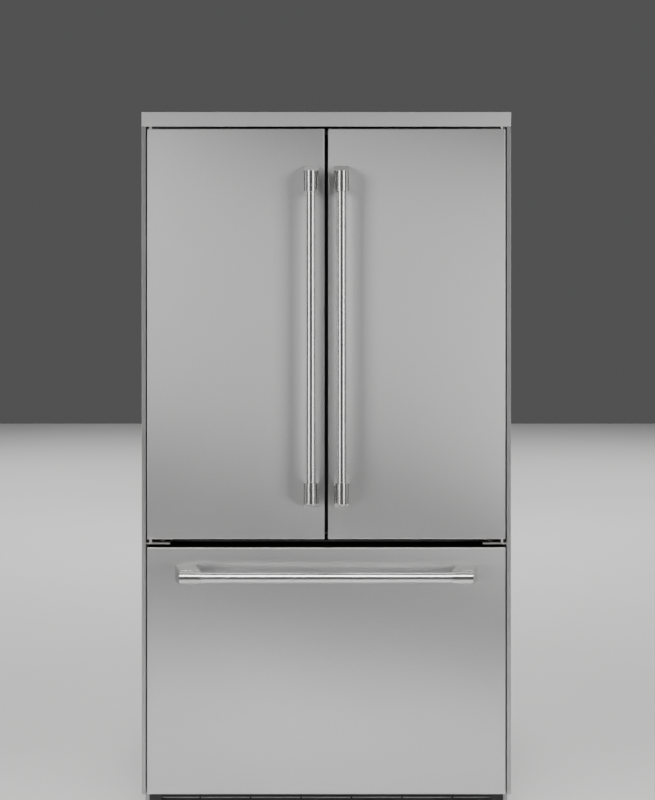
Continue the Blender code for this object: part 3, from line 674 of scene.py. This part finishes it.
def hinges():
    """Hinge plates' screws, and a near-black strip behind the gap between the doors and the drawer, which paints the
    shade in that gap.
    """
    plate_tops = {"top": 1.7385, "centre": 0.709}
    for side, tag in SIDES:
        for level, plate_top in plate_tops.items():
            node = f"{level}_hinge_{tag}"
            dress("zinc", node)
            low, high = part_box(node)
            x = (low.x + high.x) / 2 - side * 0.008
            screws(f"{level}_hinge_screws_{tag}", [(x, high.y - dy, plate_top) for dy in (0.022, 0.042)], "Z", 0.005)
    x0, x1, y0, y1, z0, z1 = spans("mullion_cover")
    bm = bar((x0, x1, z0, z1), y0, y1, 0.003, "Y", 3)
    # near-black strip that paints the shade seen in the gap above the drawer
    piece("mullion_gap_shade_strip", bm, "cap", stands_for=("mullion_cover",), bevel=0.0006)


# ---------------- doors inside
def gasket(tag, body):
    """Vinyl bellows with a magnet bead, as one closed ring."""
    node = f"{tag}_gasket"
    x0, x1, y0, y1, z0, z1 = spans(node)
    # inset from the outer edge, share of the depth
    profile = [(0.0035, 0), (0.002, 0.12), (0.0045, 0.3), (0.0012, 0.5), (0, 0.6), (0, 0.92), (0.001, 1),
               (0.011, 1), (0.0124, 0.92), (0.0124, 0.62), (0.01, 0.5), (0.013, 0.34), (0.0105, 0.18),
               (0.0112, 0)]
    levels = [(inset, y0 + share * (y1 - y0), max(0.01 - inset * 0.5, 0.002)) for inset, share in profile]
    ring = loft(stepped((x0, x1, z0, z1), levels), "Y", closed=True, steps=5)
    piece(f"{tag}_seal", ring, "gasket", body, (node,))


def inner_panel(tag, body, opening, ribs):
    """Vacuum-formed panel: flat border, filleted ridge all round, recessed field with shallow ribs."""
    node = f"{tag}_inner_panel"
    x0, x1, y0, ridge, z0, z1 = spans(node)
    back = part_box(f"{tag}_gasket")[0].y - 0.0003
    floor = back - 0.004
    border = ((0, y0, 0.005), (0, back - 0.002, 0.005), (0.001, back, 0.005))
    ridge_and_field = (
        (-0.002, back, 0.024), (0.0005, back + 0.003, 0.023), (0.002, ridge - 0.003, 0.022), (0.004, ridge, 0.021),
        (0.01, ridge, 0.018), (0.0122, ridge - 0.003, 0.017), (0.014, floor + 0.005, 0.016), (0.018, floor, 0.014),
    )
    bm = loft(stepped((x0, x1, z0, z1), border) + stepped(opening, ridge_and_field), "Y", steps=5)
    rib_levels = ((0, floor - 0.001, 0.006), (0, floor + 0.001, 0.006), (0.0025, floor + 0.004, 0.004))
    rib_end = 0.035
    for low, high in ribs:
        rib = (opening[0] + rib_end, opening[1] - rib_end, low, high)
        loft(stepped(rib, rib_levels), "Y", bm=bm, steps=3)
    piece(f"{tag}_panel_formed", bm, "liner", body, (node,), sharp=60)


def door_bin(node, body):
    """Clear door bin: drafted walls and a metal retainer strip along the front."""
    x0, x1, y0, y1, z0, z1 = spans(node)
    shell = pan((x0, x1, y0, y1), z0, z1, 0.0028, 0.014, 0.01, "Z", draft=0.002)
    piece(f"{node}_shell", shell, "clear", body, (node,))
    strip = bar((x0 + 0.012, x1 - 0.012, z1 - 0.022, z1 - 0.004), y1 + 0.0003, y1 + 0.0032, 0.004, "Y", 4)
    piece(f"{node}_strip", strip, "trim", body, bevel=0.0008)


def doors_inside():
    for tag, body in LEAVES:
        gasket(tag, body)
    door_z = (0.785, 1.68)
    openings = ((-0.386, -0.064, *door_z), (0.064, 0.386, *door_z), (-0.34, 0.34, 0.16, 0.63))
    door_ribs = [(0.9 + i * 0.12, 0.93 + i * 0.12) for i in range(6)]
    drawer_ribs = [(0.22 + i * 0.09, 0.25 + i * 0.09) for i in range(4)]
    for (tag, body), opening, ribs in zip(LEAVES, openings, (door_ribs, door_ribs, drawer_ribs)):
        inner_panel(tag, body, opening, ribs)
    for node, body in (("left_door_bin_lower", "left_door"), ("left_door_bin_upper", "left_door"),
                       ("right_door_bin_lower", "right_door"), ("dairy_bin", "right_door")):
        door_bin(node, body)
    x0, x1, y0, y1, z0, z1 = spans("dairy_lid")
    levels = ((0, z0, 0.01), (0, z1 - 0.001, 0.01), (0.001, z1, 0.009))
    bm = loft(stepped((x0, x1, y0, y1), levels), "Z", steps=5)
    piece("dairy_lid_moulding", bm, "clear", "dairy_lid", ("dairy_lid",), bevel=0.0005)
    x0, x1, y0, y1, z0, z1 = spans("folding_mullion")
    bm = bar((x0, x1, y0, y1), z0, z1, 0.003, "Z", 4)
    piece("mullion_bar", bm, "case", "folding_mullion", ("folding_mullion",), bevel=0.0008)
    arms = bmesh.new()
    for z in (z0 + 0.12, (z0 + z1) / 2, z1 - 0.12):
        slab(x0 - 0.012, x0 - GAP, y0 - 0.0095, y0 + 0.014, z - 0.016, z + 0.016, arms)
    piece("mullion_arms", arms, "white", "left_door", bevel=0.001, segments=3)


# ---------------- fresh-food space
SHELVES = ("glass_shelf_upper", "glass_shelf_lower", "crisper_cover")
LINER_WALL = 0.0027


def fridge_space():
    x0, x1, y0, y1, z0, z1 = spans("fridge_liner")
    liner = pan((x0, x1, z0, z1), y1, y0, LINER_WALL, 0.028, 0.02, "Y", steps=5)
    piece("fridge_liner_formed", liner, "liner", stands_for=("fridge_liner",))
    inner = x1 - LINER_WALL
    front, back = -0.2, 0.25
    spare_levels = (1.32, 1.56, 1.09)
    ledges = bmesh.new()
    for side, _ in SIDES:
        a, b = sorted((side * (inner - 0.0032), side * (inner - 0.0001)))
        for z in [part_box(node)[0].z for node in SHELVES]:
            bar((front, back, z - 0.018, z - 0.0045), a, b, 0.004, "X", 3, ledges)
        for z in spare_levels:
            bar((front, back, z - 0.006, z + 0.006), a, b, 0.005, "X", 3, ledges)
    piece("shelf_ledges", ledges, "liner", bevel=0.0008, segments=3)
    for node in SHELVES:
        glass_shelf(node)
    for _, tag in SIDES:
        crisper(f"crisper_{tag}")
    air_tower()
    control_panel()
    levels = ((0, 1.7015, 0.012), (0, 1.6975, 0.012), (0.004, 1.6945, 0.01))
    piece("ceiling_lamp_lens", loft(stepped((-0.15, 0.15, 0.02, 0.11), levels), "Z"), "lamp")
    water_filter()


def glass_shelf(node):
    """Pane held by two metal trims; the rear one stands up as a stop."""
    x0, x1, y0, y1, z0, z1 = spans(node)
    pane_edge, hold = 0.0045, 0.01
    pane = bar((x0 + 0.004, x1 - 0.004, y0 + pane_edge, y1 - pane_edge), z0 + 0.0006, z1 - 0.0004, 0.006, "Z")
    piece(f"{node}_pane", pane, "glass", stands_for=(node,), bevel=0.0006)
    trims = bmesh.new()
    for edge, way, stop, corner in ((y0, 1, 0.0015, z1), (y1, -1, 0.006, z1 + 0.006)):
        far, near = edge + way * hold, edge + way * pane_edge
        outline = [(edge, z0 - 0.004), (far, z0 - 0.004), (far, z0), (near, z0), (near, z1), (far, z1),
                   (far, z1 + 0.0015), (edge + way * 0.001, z1 + stop), (edge, corner)]
        prism(outline, "X", x0, x1, trims)
    piece(f"{node}_trims", trims, "trim", bevel=0.0007, slot="zinc_steel")


def crisper(node):
    """Clear drawer with a thicker front and a metal grip."""
    x0, x1, y0, y1, z0, z1 = spans(node)
    shell = pan((x0, x1, y0 + 0.006, y1), z0, z1 - 0.002, 0.0028, 0.016, 0.012, "Z", draft=0.003)
    piece(f"{node}_shell", shell, "clear", node, (node,))
    levels = ((0, y0 + 0.0055, 0.01), (0, y0 + 0.002, 0.01), (0.002, y0, 0.008))
    front = loft(stepped((x0, x1, z0 + 0.004, z1 - 0.001), levels), "Y", steps=5)
    piece(f"{node}_front", front, "clear", node)
    outline = [(y0 - 0.0002, z1 - 0.03), (y0 - 0.0062, z1 - 0.026), (y0 - 0.007, z1 - 0.012),
               (y0 - 0.0045, z1 - 0.0075), (y0 - 0.0002, z1 - 0.007)]
    piece(f"{node}_grip", prism(outline, "X", x0 + 0.02, x1 - 0.02), "trim", node, bevel=0.0012, segments=3)


def air_tower():
    x0, x1, y0, y1, z0, z1 = spans("air_tower")
    levels = ((0.006, y0, 0.012), (0.002, y0 + 0.002, 0.014), (0, y0 + 0.006, 0.016), (0, y1, 0.016))
    cover = loft(stepped((x0, x1, z0, z1), levels), "Y")
    piece("air_tower_cover", cover, "liner", stands_for=("air_tower",), sharp=60)
    vents = bmesh.new()
    vent_half, groups, slots = 0.042, 3, 4
    for i in range(groups):
        for k in range(slots):
            z = 1.1 + i * 0.2 + k * 0.012
            bar((-vent_half, vent_half, z, z + 0.006), y0 - 0.0004, y0 + 0.004, 0.0028, "Y", 3, vents)
    piece("air_tower_vents", vents, "black")
    strips = bmesh.new()
    for side, _ in SIDES:
        a, b = sorted((side * 0.054, side * 0.062))
        bar((a, b, z0 + 0.03, z1 - 0.03), y0 - 0.001, y0 + 0.003, 0.0035, "Y", 4, strips)
    piece("air_tower_light_strips", strips, "lamp", bevel=0.0006)
    tracks = bmesh.new()
    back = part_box("fridge_liner")[1].y - LINER_WALL - 0.0002
    track_x, flank, web = 0.2, 0.011, 0.0045
    low, high, pitch = 1.02, 1.62, 0.025
    for side, _ in SIDES:
        x = side * track_x
        slab(x - flank, x - web, back - 0.01, back, low, high, tracks)
        slab(x + web, x + flank, back - 0.01, back, low, high, tracks)
        for i in range(25):
            z = low + i * pitch
            slab(x - 0.005, x + 0.005, back - 0.0098, back - 0.006, z, min(z + 0.01, high), tracks)
    piece("shelf_tracks", tracks, "zinc", bevel=0.0005)


def control_panel():
    """Housing with a pocket for its key, the key, and a row of plain dots."""
    x0, x1, y0, y1, z0, z1 = spans("control_panel")
    b0, b1, c0, c1, d0, d1 = spans("control_button")
    bm = loft(stepped((x0, x1, y0, y1), ((0.004, z0, 0.01), (0, z0 + 0.004, 0.012), (0, z1, 0.012))), "Z")
    play, travel = 0.0008, 0.003
    pocket = slab(b0 - play, b1 + play, y0 - 0.01, c1 + travel, d0 - play, d1 + play)
    cutter = piece("pocket_cutter", pocket, "black")
    housing = piece("control_housing", bm, "black", stands_for=("control_panel",))
    carve = housing.modifiers.new("pocket", "BOOLEAN")
    carve.object = cutter
    carve.operation = "DIFFERENCE"
    bpy.context.view_layer.objects.active = housing
    bpy.ops.object.modifier_apply(modifier=carve.name)
    bpy.data.objects.remove(cutter, do_unlink=True)
    housing.data.set_sharp_from_angle(angle=radians(SHARP))
    levels = ((0.001, c0, 0.003), (0, c0 + 0.0012, 0.0035), (0, c1, 0.0035))
    key = loft(stepped((b0, b1, d0, d1), levels), "Y", steps=5)
    piece("control_key", key, "white", "control_button", ("control_button",))
    dots = bmesh.new()
    for i in range(5):
        place = (x0 + 0.045 + i * 0.009, y0 - 0.0002, (d0 + d1) / 2)
        turned([(0.0016, -0.0003), (0.0016, 0.0006)], place, "Y", 16, dots)
    piece("control_dots", dots, "white")


def water_filter():
    x0, x1, y0, y1, z0, z1 = spans("water_filter")
    x, z = (x0 + x1) / 2, (z0 + z1) / 2
    r, rib = 0.0262, 0.027
    profile = [(0.008, -0.2), (0.0145, -0.1985), (0.0235, -0.192), (r, -0.186)]
    for i in range(6):
        a = -0.06 + i * 0.007
        profile += [(r, a), (rib, a + 0.0012), (rib, a + 0.0042), (r, a + 0.0054)]
    profile += [(0.0275, -0.015), (0.0288, -0.013), (0.0288, 0)]
    piece("filter_cartridge", turned(profile, (x, y1, z), "Y", 56), "white", "water_filter", ("water_filter",))
    wing = bar((x - 0.0026, x + 0.0026, z - 0.014, z + 0.014), y0, y0 + 0.012, 0.0024, "Y", 5)
    piece("filter_wing", wing, "white", "water_filter", bevel=0.0006)
    socket = [(0.0305, 0.0004), (0.0315, 0.004), (0.0315, 0.05), (0.029, 0.058), (0.012, 0.06)]
    piece("filter_socket", turned(socket, (x, y1, z), "Y", 48), "white")


# ---------------- freezer space
def freezer_space():
    dress("liner", "freezer_liner")
    x0, x1, y0, y1, z0, z1 = spans("freezer_bin")
    shell = pan((x0, x1, y0, y1), z0, z1, 0.0035, 0.022, 0.016, "Z", draft=0.004, steps=5)
    piece("freezer_bin_shell", shell, "white", "freezer_drawer", ("freezer_bin",))
    ribs = bmesh.new()
    for x in evenly(x0 + 0.06, x1 - 0.06, 9):
        for y, way in ((y0 + 0.0005, -1), (y1 - 0.0005, 1)):
            a, b = sorted((y, y + way * 0.0022))
            slab(x - 0.0015, x + 0.0015, a, b, z0 + 0.03, z1 - 0.02, ribs)
    piece("freezer_bin_ribs", ribs, "white", "freezer_drawer", bevel=0.0005)
    basket()
    slides()
    dress("liner", "evaporator_cover")
    fan_guard()
    rotor("evaporator_rotor", "evaporator_fan", "Y")


def fan_guard():
    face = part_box("evaporator_cover")[0].y
    low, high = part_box("evaporator_fan")
    centre = Vector(((low.x + high.x) / 2, face, (low.z + high.z) / 2))
    wire = 0.0012
    guard = bmesh.new()
    for radius in (0.014, 0.026, 0.038, 0.05):
        rings = []
        for across, up in circle(1, 48):
            ring = []
            for outward, forward in circle(wire, 8):
                r = radius + outward
                ring.append(guard.verts.new((centre.x + r * across, face - 0.0016 + forward, centre.z + r * up)))
            rings.append(ring)
        bridge(guard, rings, True)
    spokes, reach = 6, 0.052
    for i in range(spokes):
        a = pi * i / spokes
        across = Vector((cos(a), 0, sin(a))) * reach
        normal = Vector((-sin(a), 0, cos(a))) * wire
        corners = []
        for y in (face - 0.004, face - 0.0024):
            for t, n in ((-1, -1), (1, -1), (1, 1), (-1, 1)):
                spot = centre + across * t + normal * n
                corners.append(guard.verts.new((spot.x, y, spot.z)))
        bridge(guard, [corners[:4], corners[4:]])
    piece("fan_guard", guard, "white")


def basket():
    """Coated wire basket: round rim and floor wires inside the CAD basket's space."""
    x0, x1, y0, y1, z0, z1 = spans("upper_basket")
    wires = bmesh.new()

    def wire(points, radius, closed=False):
        rings = []
        count = len(points)
        for i, point in enumerate(points):
            before = Vector(points[i - 1] if (i or closed) else points[i])
            after = Vector(points[(i + 1) % count] if (i < count - 1 or closed) else points[i])
            along = (after - before).normalized()
            up = Vector((0, 0, 1)) if abs(along.z) < 0.9 else Vector((1, 0, 0))
            side = along.cross(up).normalized()
            up = side.cross(along).normalized()
            rings.append([wires.verts.new(Vector(point) + side * u + up * v) for u, v in circle(radius, 8)])
        bridge(wires, rings, closed)

    def loop(inset, z, radius):
        outline = rounded(x0 + inset, x1 - inset, y0 + inset, y1 - inset, 0.024 - min(inset, 0.01), 5)
        wire([(u, v, z) for u, v in outline], radius, True)

    def route(low, high, foot, floor):
        """Down from the rim, along the floor and up again: position and height."""
        descent = ((0.003, z1 - 0.004), (0.006, z0 + 0.01), (0.009, foot), (0.016, floor))
        return [(low + inset, z) for inset, z in descent] + [(high - inset, z) for inset, z in reversed(descent)]

    loop(0.003, z1 - 0.003, 0.003)
    loop(0.004, z1 - 0.024, 0.0018)
    loop(0.006, z0 + 0.022, 0.0018)
    for x in evenly(x0 + 0.03, x1 - 0.03, 26):
        wire([(x, y, z) for y, z in route(y0, y1, z0 + 0.005, z0 + 0.0022)], 0.0015)
    for y in evenly(y0 + 0.04, y1 - 0.04, 7):
        wire([(x, y, z) for x, z in route(x0, x1, z0 + 0.008, z0 + 0.0055)], 0.0018)
    piece("wire_basket", wires, "white", "upper_basket", ("upper_basket",), sharp=70)


def slides():
    """Moving and middle members of the drawer's slides, as channels open towards the outside."""
    t = 0.0014
    for side, tag in SIDES:
        for part, body in (("moving", "freezer_drawer"), ("middle", "middle_slides")):
            node = f"slide_{part}_{tag}"
            x0, x1, y0, y1, z0, z1 = spans(node)
            lip = (z1 - z0) * 0.22
            web, flange = (x0, x1) if side > 0 else (x1, x0)
            web_in, flange_in = web + side * t, flange - side * t
            half = [(web, 0), (flange, 0), (flange, lip), (flange_in, lip), (flange_in, t), (web_in, t)]
            outline = [(x, z0 + rise) for x, rise in half] + [(x, z1 - rise) for x, rise in reversed(half)]
            channel = prism(outline, "Y", y0, y1)
            piece(f"{node}_channel", channel, "zinc", body, (node,), bevel=0.0005)


# ---------------- fans, compressor, condenser
def rotor(name, node, axis):
    """Hub with five twisted blades, turning with its own body."""
    low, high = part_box(node)
    centre = (low + high) / 2
    along = "XYZ".index(axis)
    half_depth = (high[along] - low[along]) / 2
    radius = max(high[i] - low[i] for i in range(3) if i != along) / 2 * 0.98
    hub = radius * 0.34
    profile = [(hub * 0.55, -half_depth), (hub * 0.92, 0.001 - half_depth), (hub, 0.003 - half_depth),
               (hub, half_depth - 0.001), (hub * 0.9, half_depth)]
    bm = turned(profile, centre, axis, 40)
    root = hub * 0.96
    half_blade = 0.0006
    blades, cells = 5, 6
    for blade in range(blades):
        rows = []
        for i in range(cells + 1):
            share = i / cells
            r = root + (radius - root) * share
            pitch = radians(58 - 26 * share)
            chord = radius * (0.42 + 0.2 * share)
            row = []
            for k in range(cells + 1):
                c = (k / cells - 0.5) * chord
                camber = 0.1 * chord * (1 - (2 * k / cells - 1) ** 2)
                w = max(-half_depth, min(half_depth, c * cos(pitch) + camber))
                a = 2 * pi * blade / blades + c * sin(pitch) / r
                row.append((r * cos(a), r * sin(a), w))
            rows.append(row)
        front, back = [[[bm.verts.new(centre + Vector(swap((u, v, w + shift), axis))) for u, v, w in row]
                        for row in rows] for shift in (half_blade, -half_blade)]
        for i in range(cells):
            for k in range(cells):
                bm.faces.new((front[i][k], front[i + 1][k], front[i + 1][k + 1], front[i][k + 1]))
                bm.faces.new((back[i][k], back[i][k + 1], back[i + 1][k + 1], back[i + 1][k]))
        rim = [(0, k) for k in range(cells)] + [(i, cells) for i in range(cells)]
        rim += [(cells, k) for k in range(cells, 0, -1)] + [(i, 0) for i in range(cells, 0, -1)]
        for (i, k), (p, q) in zip(rim, rim[1:] + rim[:1]):
            bm.faces.new((front[i][k], front[p][q], back[p][q], back[i][k]))
    piece(name, bm, "black", node, (node,), sharp=50)


def machinery():
    rotor("condenser_rotor", "condenser_fan", "X")
    x0, x1, y0, y1, z0, z1 = spans("compressor")
    x, y = (x0 + x1) / 2, (y0 + y1) / 2
    r, h = (x1 - x0) / 2, z1 - z0
    profile = [(r * 0.6, 0), (r * 0.86, 0.004), (r * 0.96, 0.014), (r, 0.04), (r, h * 0.52), (r, h * 0.54),
               (r * 0.965, h * 0.56), (r * 0.96, h * 0.66), (r * 0.9, h * 0.8), (r * 0.76, h * 0.91),
               (r * 0.5, h * 0.975), (r * 0.12, h)]
    shell = turned(profile, (x, y, z0), "Z", 64)
    piece("compressor_shell", shell, "enamel", stands_for=("compressor",), sharp=50)
    feet = bmesh.new()
    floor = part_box("base_frame")[0].z + 0.0034
    grommet = [(0.01, 0), (0.012, 0.002), (0.012, 0.008), (0.0085, 0.01), (0.0085, 0.012)]
    spacing, plate_half = 0.066, 0.082
    for dx in (-spacing, spacing):
        for dy in (-spacing, spacing):
            turned(grommet, (x + dx, y + dy, floor), "Z", 24, feet)
    piece("compressor_grommets", feet, "rubber")
    square = (x - plate_half, x + plate_half, y - plate_half, y + plate_half)
    piece("compressor_plate", bar(square, floor + 0.0105, floor + 0.0125, 0.02, "Z"), "enamel", bevel=0.0005)
    starter = bar((y - 0.03, y + 0.03, z0 + 0.04, z0 + 0.1), x1 - 0.006, x1 + 0.022, 0.006, "X")
    piece("starter_box", starter, "black", bevel=0.002, segments=3)
    condenser(Vector((x, y, z1)))


def condenser(compressor_top):
    x0, x1, y0, y1, z0, z1 = spans("condenser_coil")
    fins = bmesh.new()
    for x in evenly(x0 + 0.012, x1 - 0.012, 46):
        slab(x - 0.00035, x + 0.00035, y0 + 0.004, y1 - 0.004, z0 + 0.004, z1 - 0.004, fins)
    piece("condenser_fins", fins, "alu", stands_for=("condenser_coil",))
    first, last = x0 + 0.006, x1 - 0.006
    for layer, y in enumerate((y0 + 0.035, y0 + 0.075, y0 + 0.11)):
        points = []
        for row, z in enumerate(evenly(z0 + 0.024, z1 - 0.024, 5)):
            run = [(first + (last - first) * share, y, z) for share in (0, 0.1, 0.9, 1)]
            points += run[::-1] if row % 2 else run
        tube(f"condenser_tube_{layer}", points, 0.0035)
    x, y, z = compressor_top
    line_y = y0 + 0.035
    route = [(x + 0.03, y, z - 0.03), (x + 0.06, y, z + 0.01), (x + 0.13, y - 0.02, z + 0.004),
             (-0.075, y0 + 0.02, 0.245), (0.02, y0 + 0.01, 0.248), (x0 + 0.002, line_y, 0.236),
             (first, line_y, z1 - 0.026)]
    tube("discharge_line", route, 0.0032)
    low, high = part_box("condenser_fan")
    middle = (low + high) / 2
    motor = [(0.01, 0.009), (0.019, 0.01), (0.021, 0.014), (0.021, 0.044), (0.018, 0.048), (0.006, 0.049)]
    piece("condenser_motor", turned(motor, middle, "X", 40), "black")
    x, y, floor = middle.x, middle.y, 0.0334
    stand = slab(x + 0.02, x + 0.04, y - 0.004, y + 0.004, floor, middle.z - 0.019)
    slab(x + 0.01, x + 0.05, y - 0.022, y + 0.022, floor, 0.036, stand)
    piece("condenser_motor_stand", stand, "zinc_sheet", bevel=0.0006)
    # flush with the coil on the right, where the roller's bracket stands
    tray = (x0 - 0.015, x1, y0 - 0.012, y1 + 0.012)
    piece("drain_pan", pan(tray, 0.034, 0.06, 0.0022, 0.014, 0.008, "Z"), "black")


dress("case", "front_frame")
dress("foam", "insulation")
case_outside()
case_back()
toe_and_feet()
hinges()
doors_inside()
fridge_space()
freezer_space()
machinery()


# ---------------- stage, light, camera
def stage_floor():
    bm = bmesh.new()
    bmesh.ops.create_grid(bm, x_segments=1, y_segments=1, size=9)
    mesh = bpy.data.meshes.new("studio_floor")
    bm.to_mesh(mesh)
    bm.free()
    paint_coat = Shader("studio_floor_paint", (0.64, 0.638, 0.64), 0.6)
    mesh.materials.append(finished(paint_coat, None, (1.5, 3, 0.97, 1), (120, 2, 0.0002, 0.2)))
    floor = placed("studio_floor", mesh)


def softbox(name, place, target, size, power, spread=180):
    light = bpy.data.lights.new(name, "AREA")
    light.shape = "RECTANGLE"
    light.size, light.size_y = size
    light.spread = radians(spread)
    light.energy = power
    light.color = (1, 0.992, 0.984)
    lamp = placed(name, light)
    lamp.location = place
    lamp.rotation_euler = (Vector(target) - Vector(place)).to_track_quat("-Z", "Y").to_euler()


def studio():
    world = bpy.data.worlds.new("studio")
    bpy.context.scene.world = world
    world.use_nodes = True
    background = world.node_tree.nodes["Background"]
    background.inputs["Color"].default_value = (0.9, 0.9, 0.91, 1)
    background.inputs["Strength"].default_value = 0.1
    key_target = (0, -0.3, 1.2)
    softbox("key_left", (-2.2, -2.6, 1.36), key_target, (1.1, 2.25), 15.8, 120)
    softbox("key_right", (2.2, -2.6, 1.36), key_target, (1.2, 2.25), 17.6, 120)
    softbox("floor_pool", (0, -2, 2.6), (0, -0.95, 0), (2.6, 0.5), 13, 44)
    softbox("ceiling_panel", (0, -2, 2.8), (0, -1, 0.6), (2.4, 1.2), 9, 70)
    for side, _ in SIDES:
        softbox("side_fill", (side * 3.4, 0.9, 1.9), (0, 0.1, 0.9), (1.6, 1.6), 34)
        softbox("far_floor", (side * 2.6, 4.6, 3.4), (side * 2.6, 4.6, 0), (3.4, 4.4), 150, 150)
    softbox("rear_fill", (0, 3.2, 2.4), (0, 0.3, 0.9), (3, 2), 60)


def camera():
    eye = bpy.data.cameras.new("photo_view")
    eye.sensor_width = 36
    eye.lens = 47.6
    eye.shift_x = 0.0015
    eye.shift_y = -0.1125
    holder = placed("photo_view", eye)
    distance, eye_height = 2.6, 1.281
    holder.location = (0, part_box("left_door_skin")[0].y - distance, eye_height)
    holder.rotation_euler = (radians(90), 0, 0)
    bpy.context.scene.camera = holder


stage_floor()
studio()
camera()
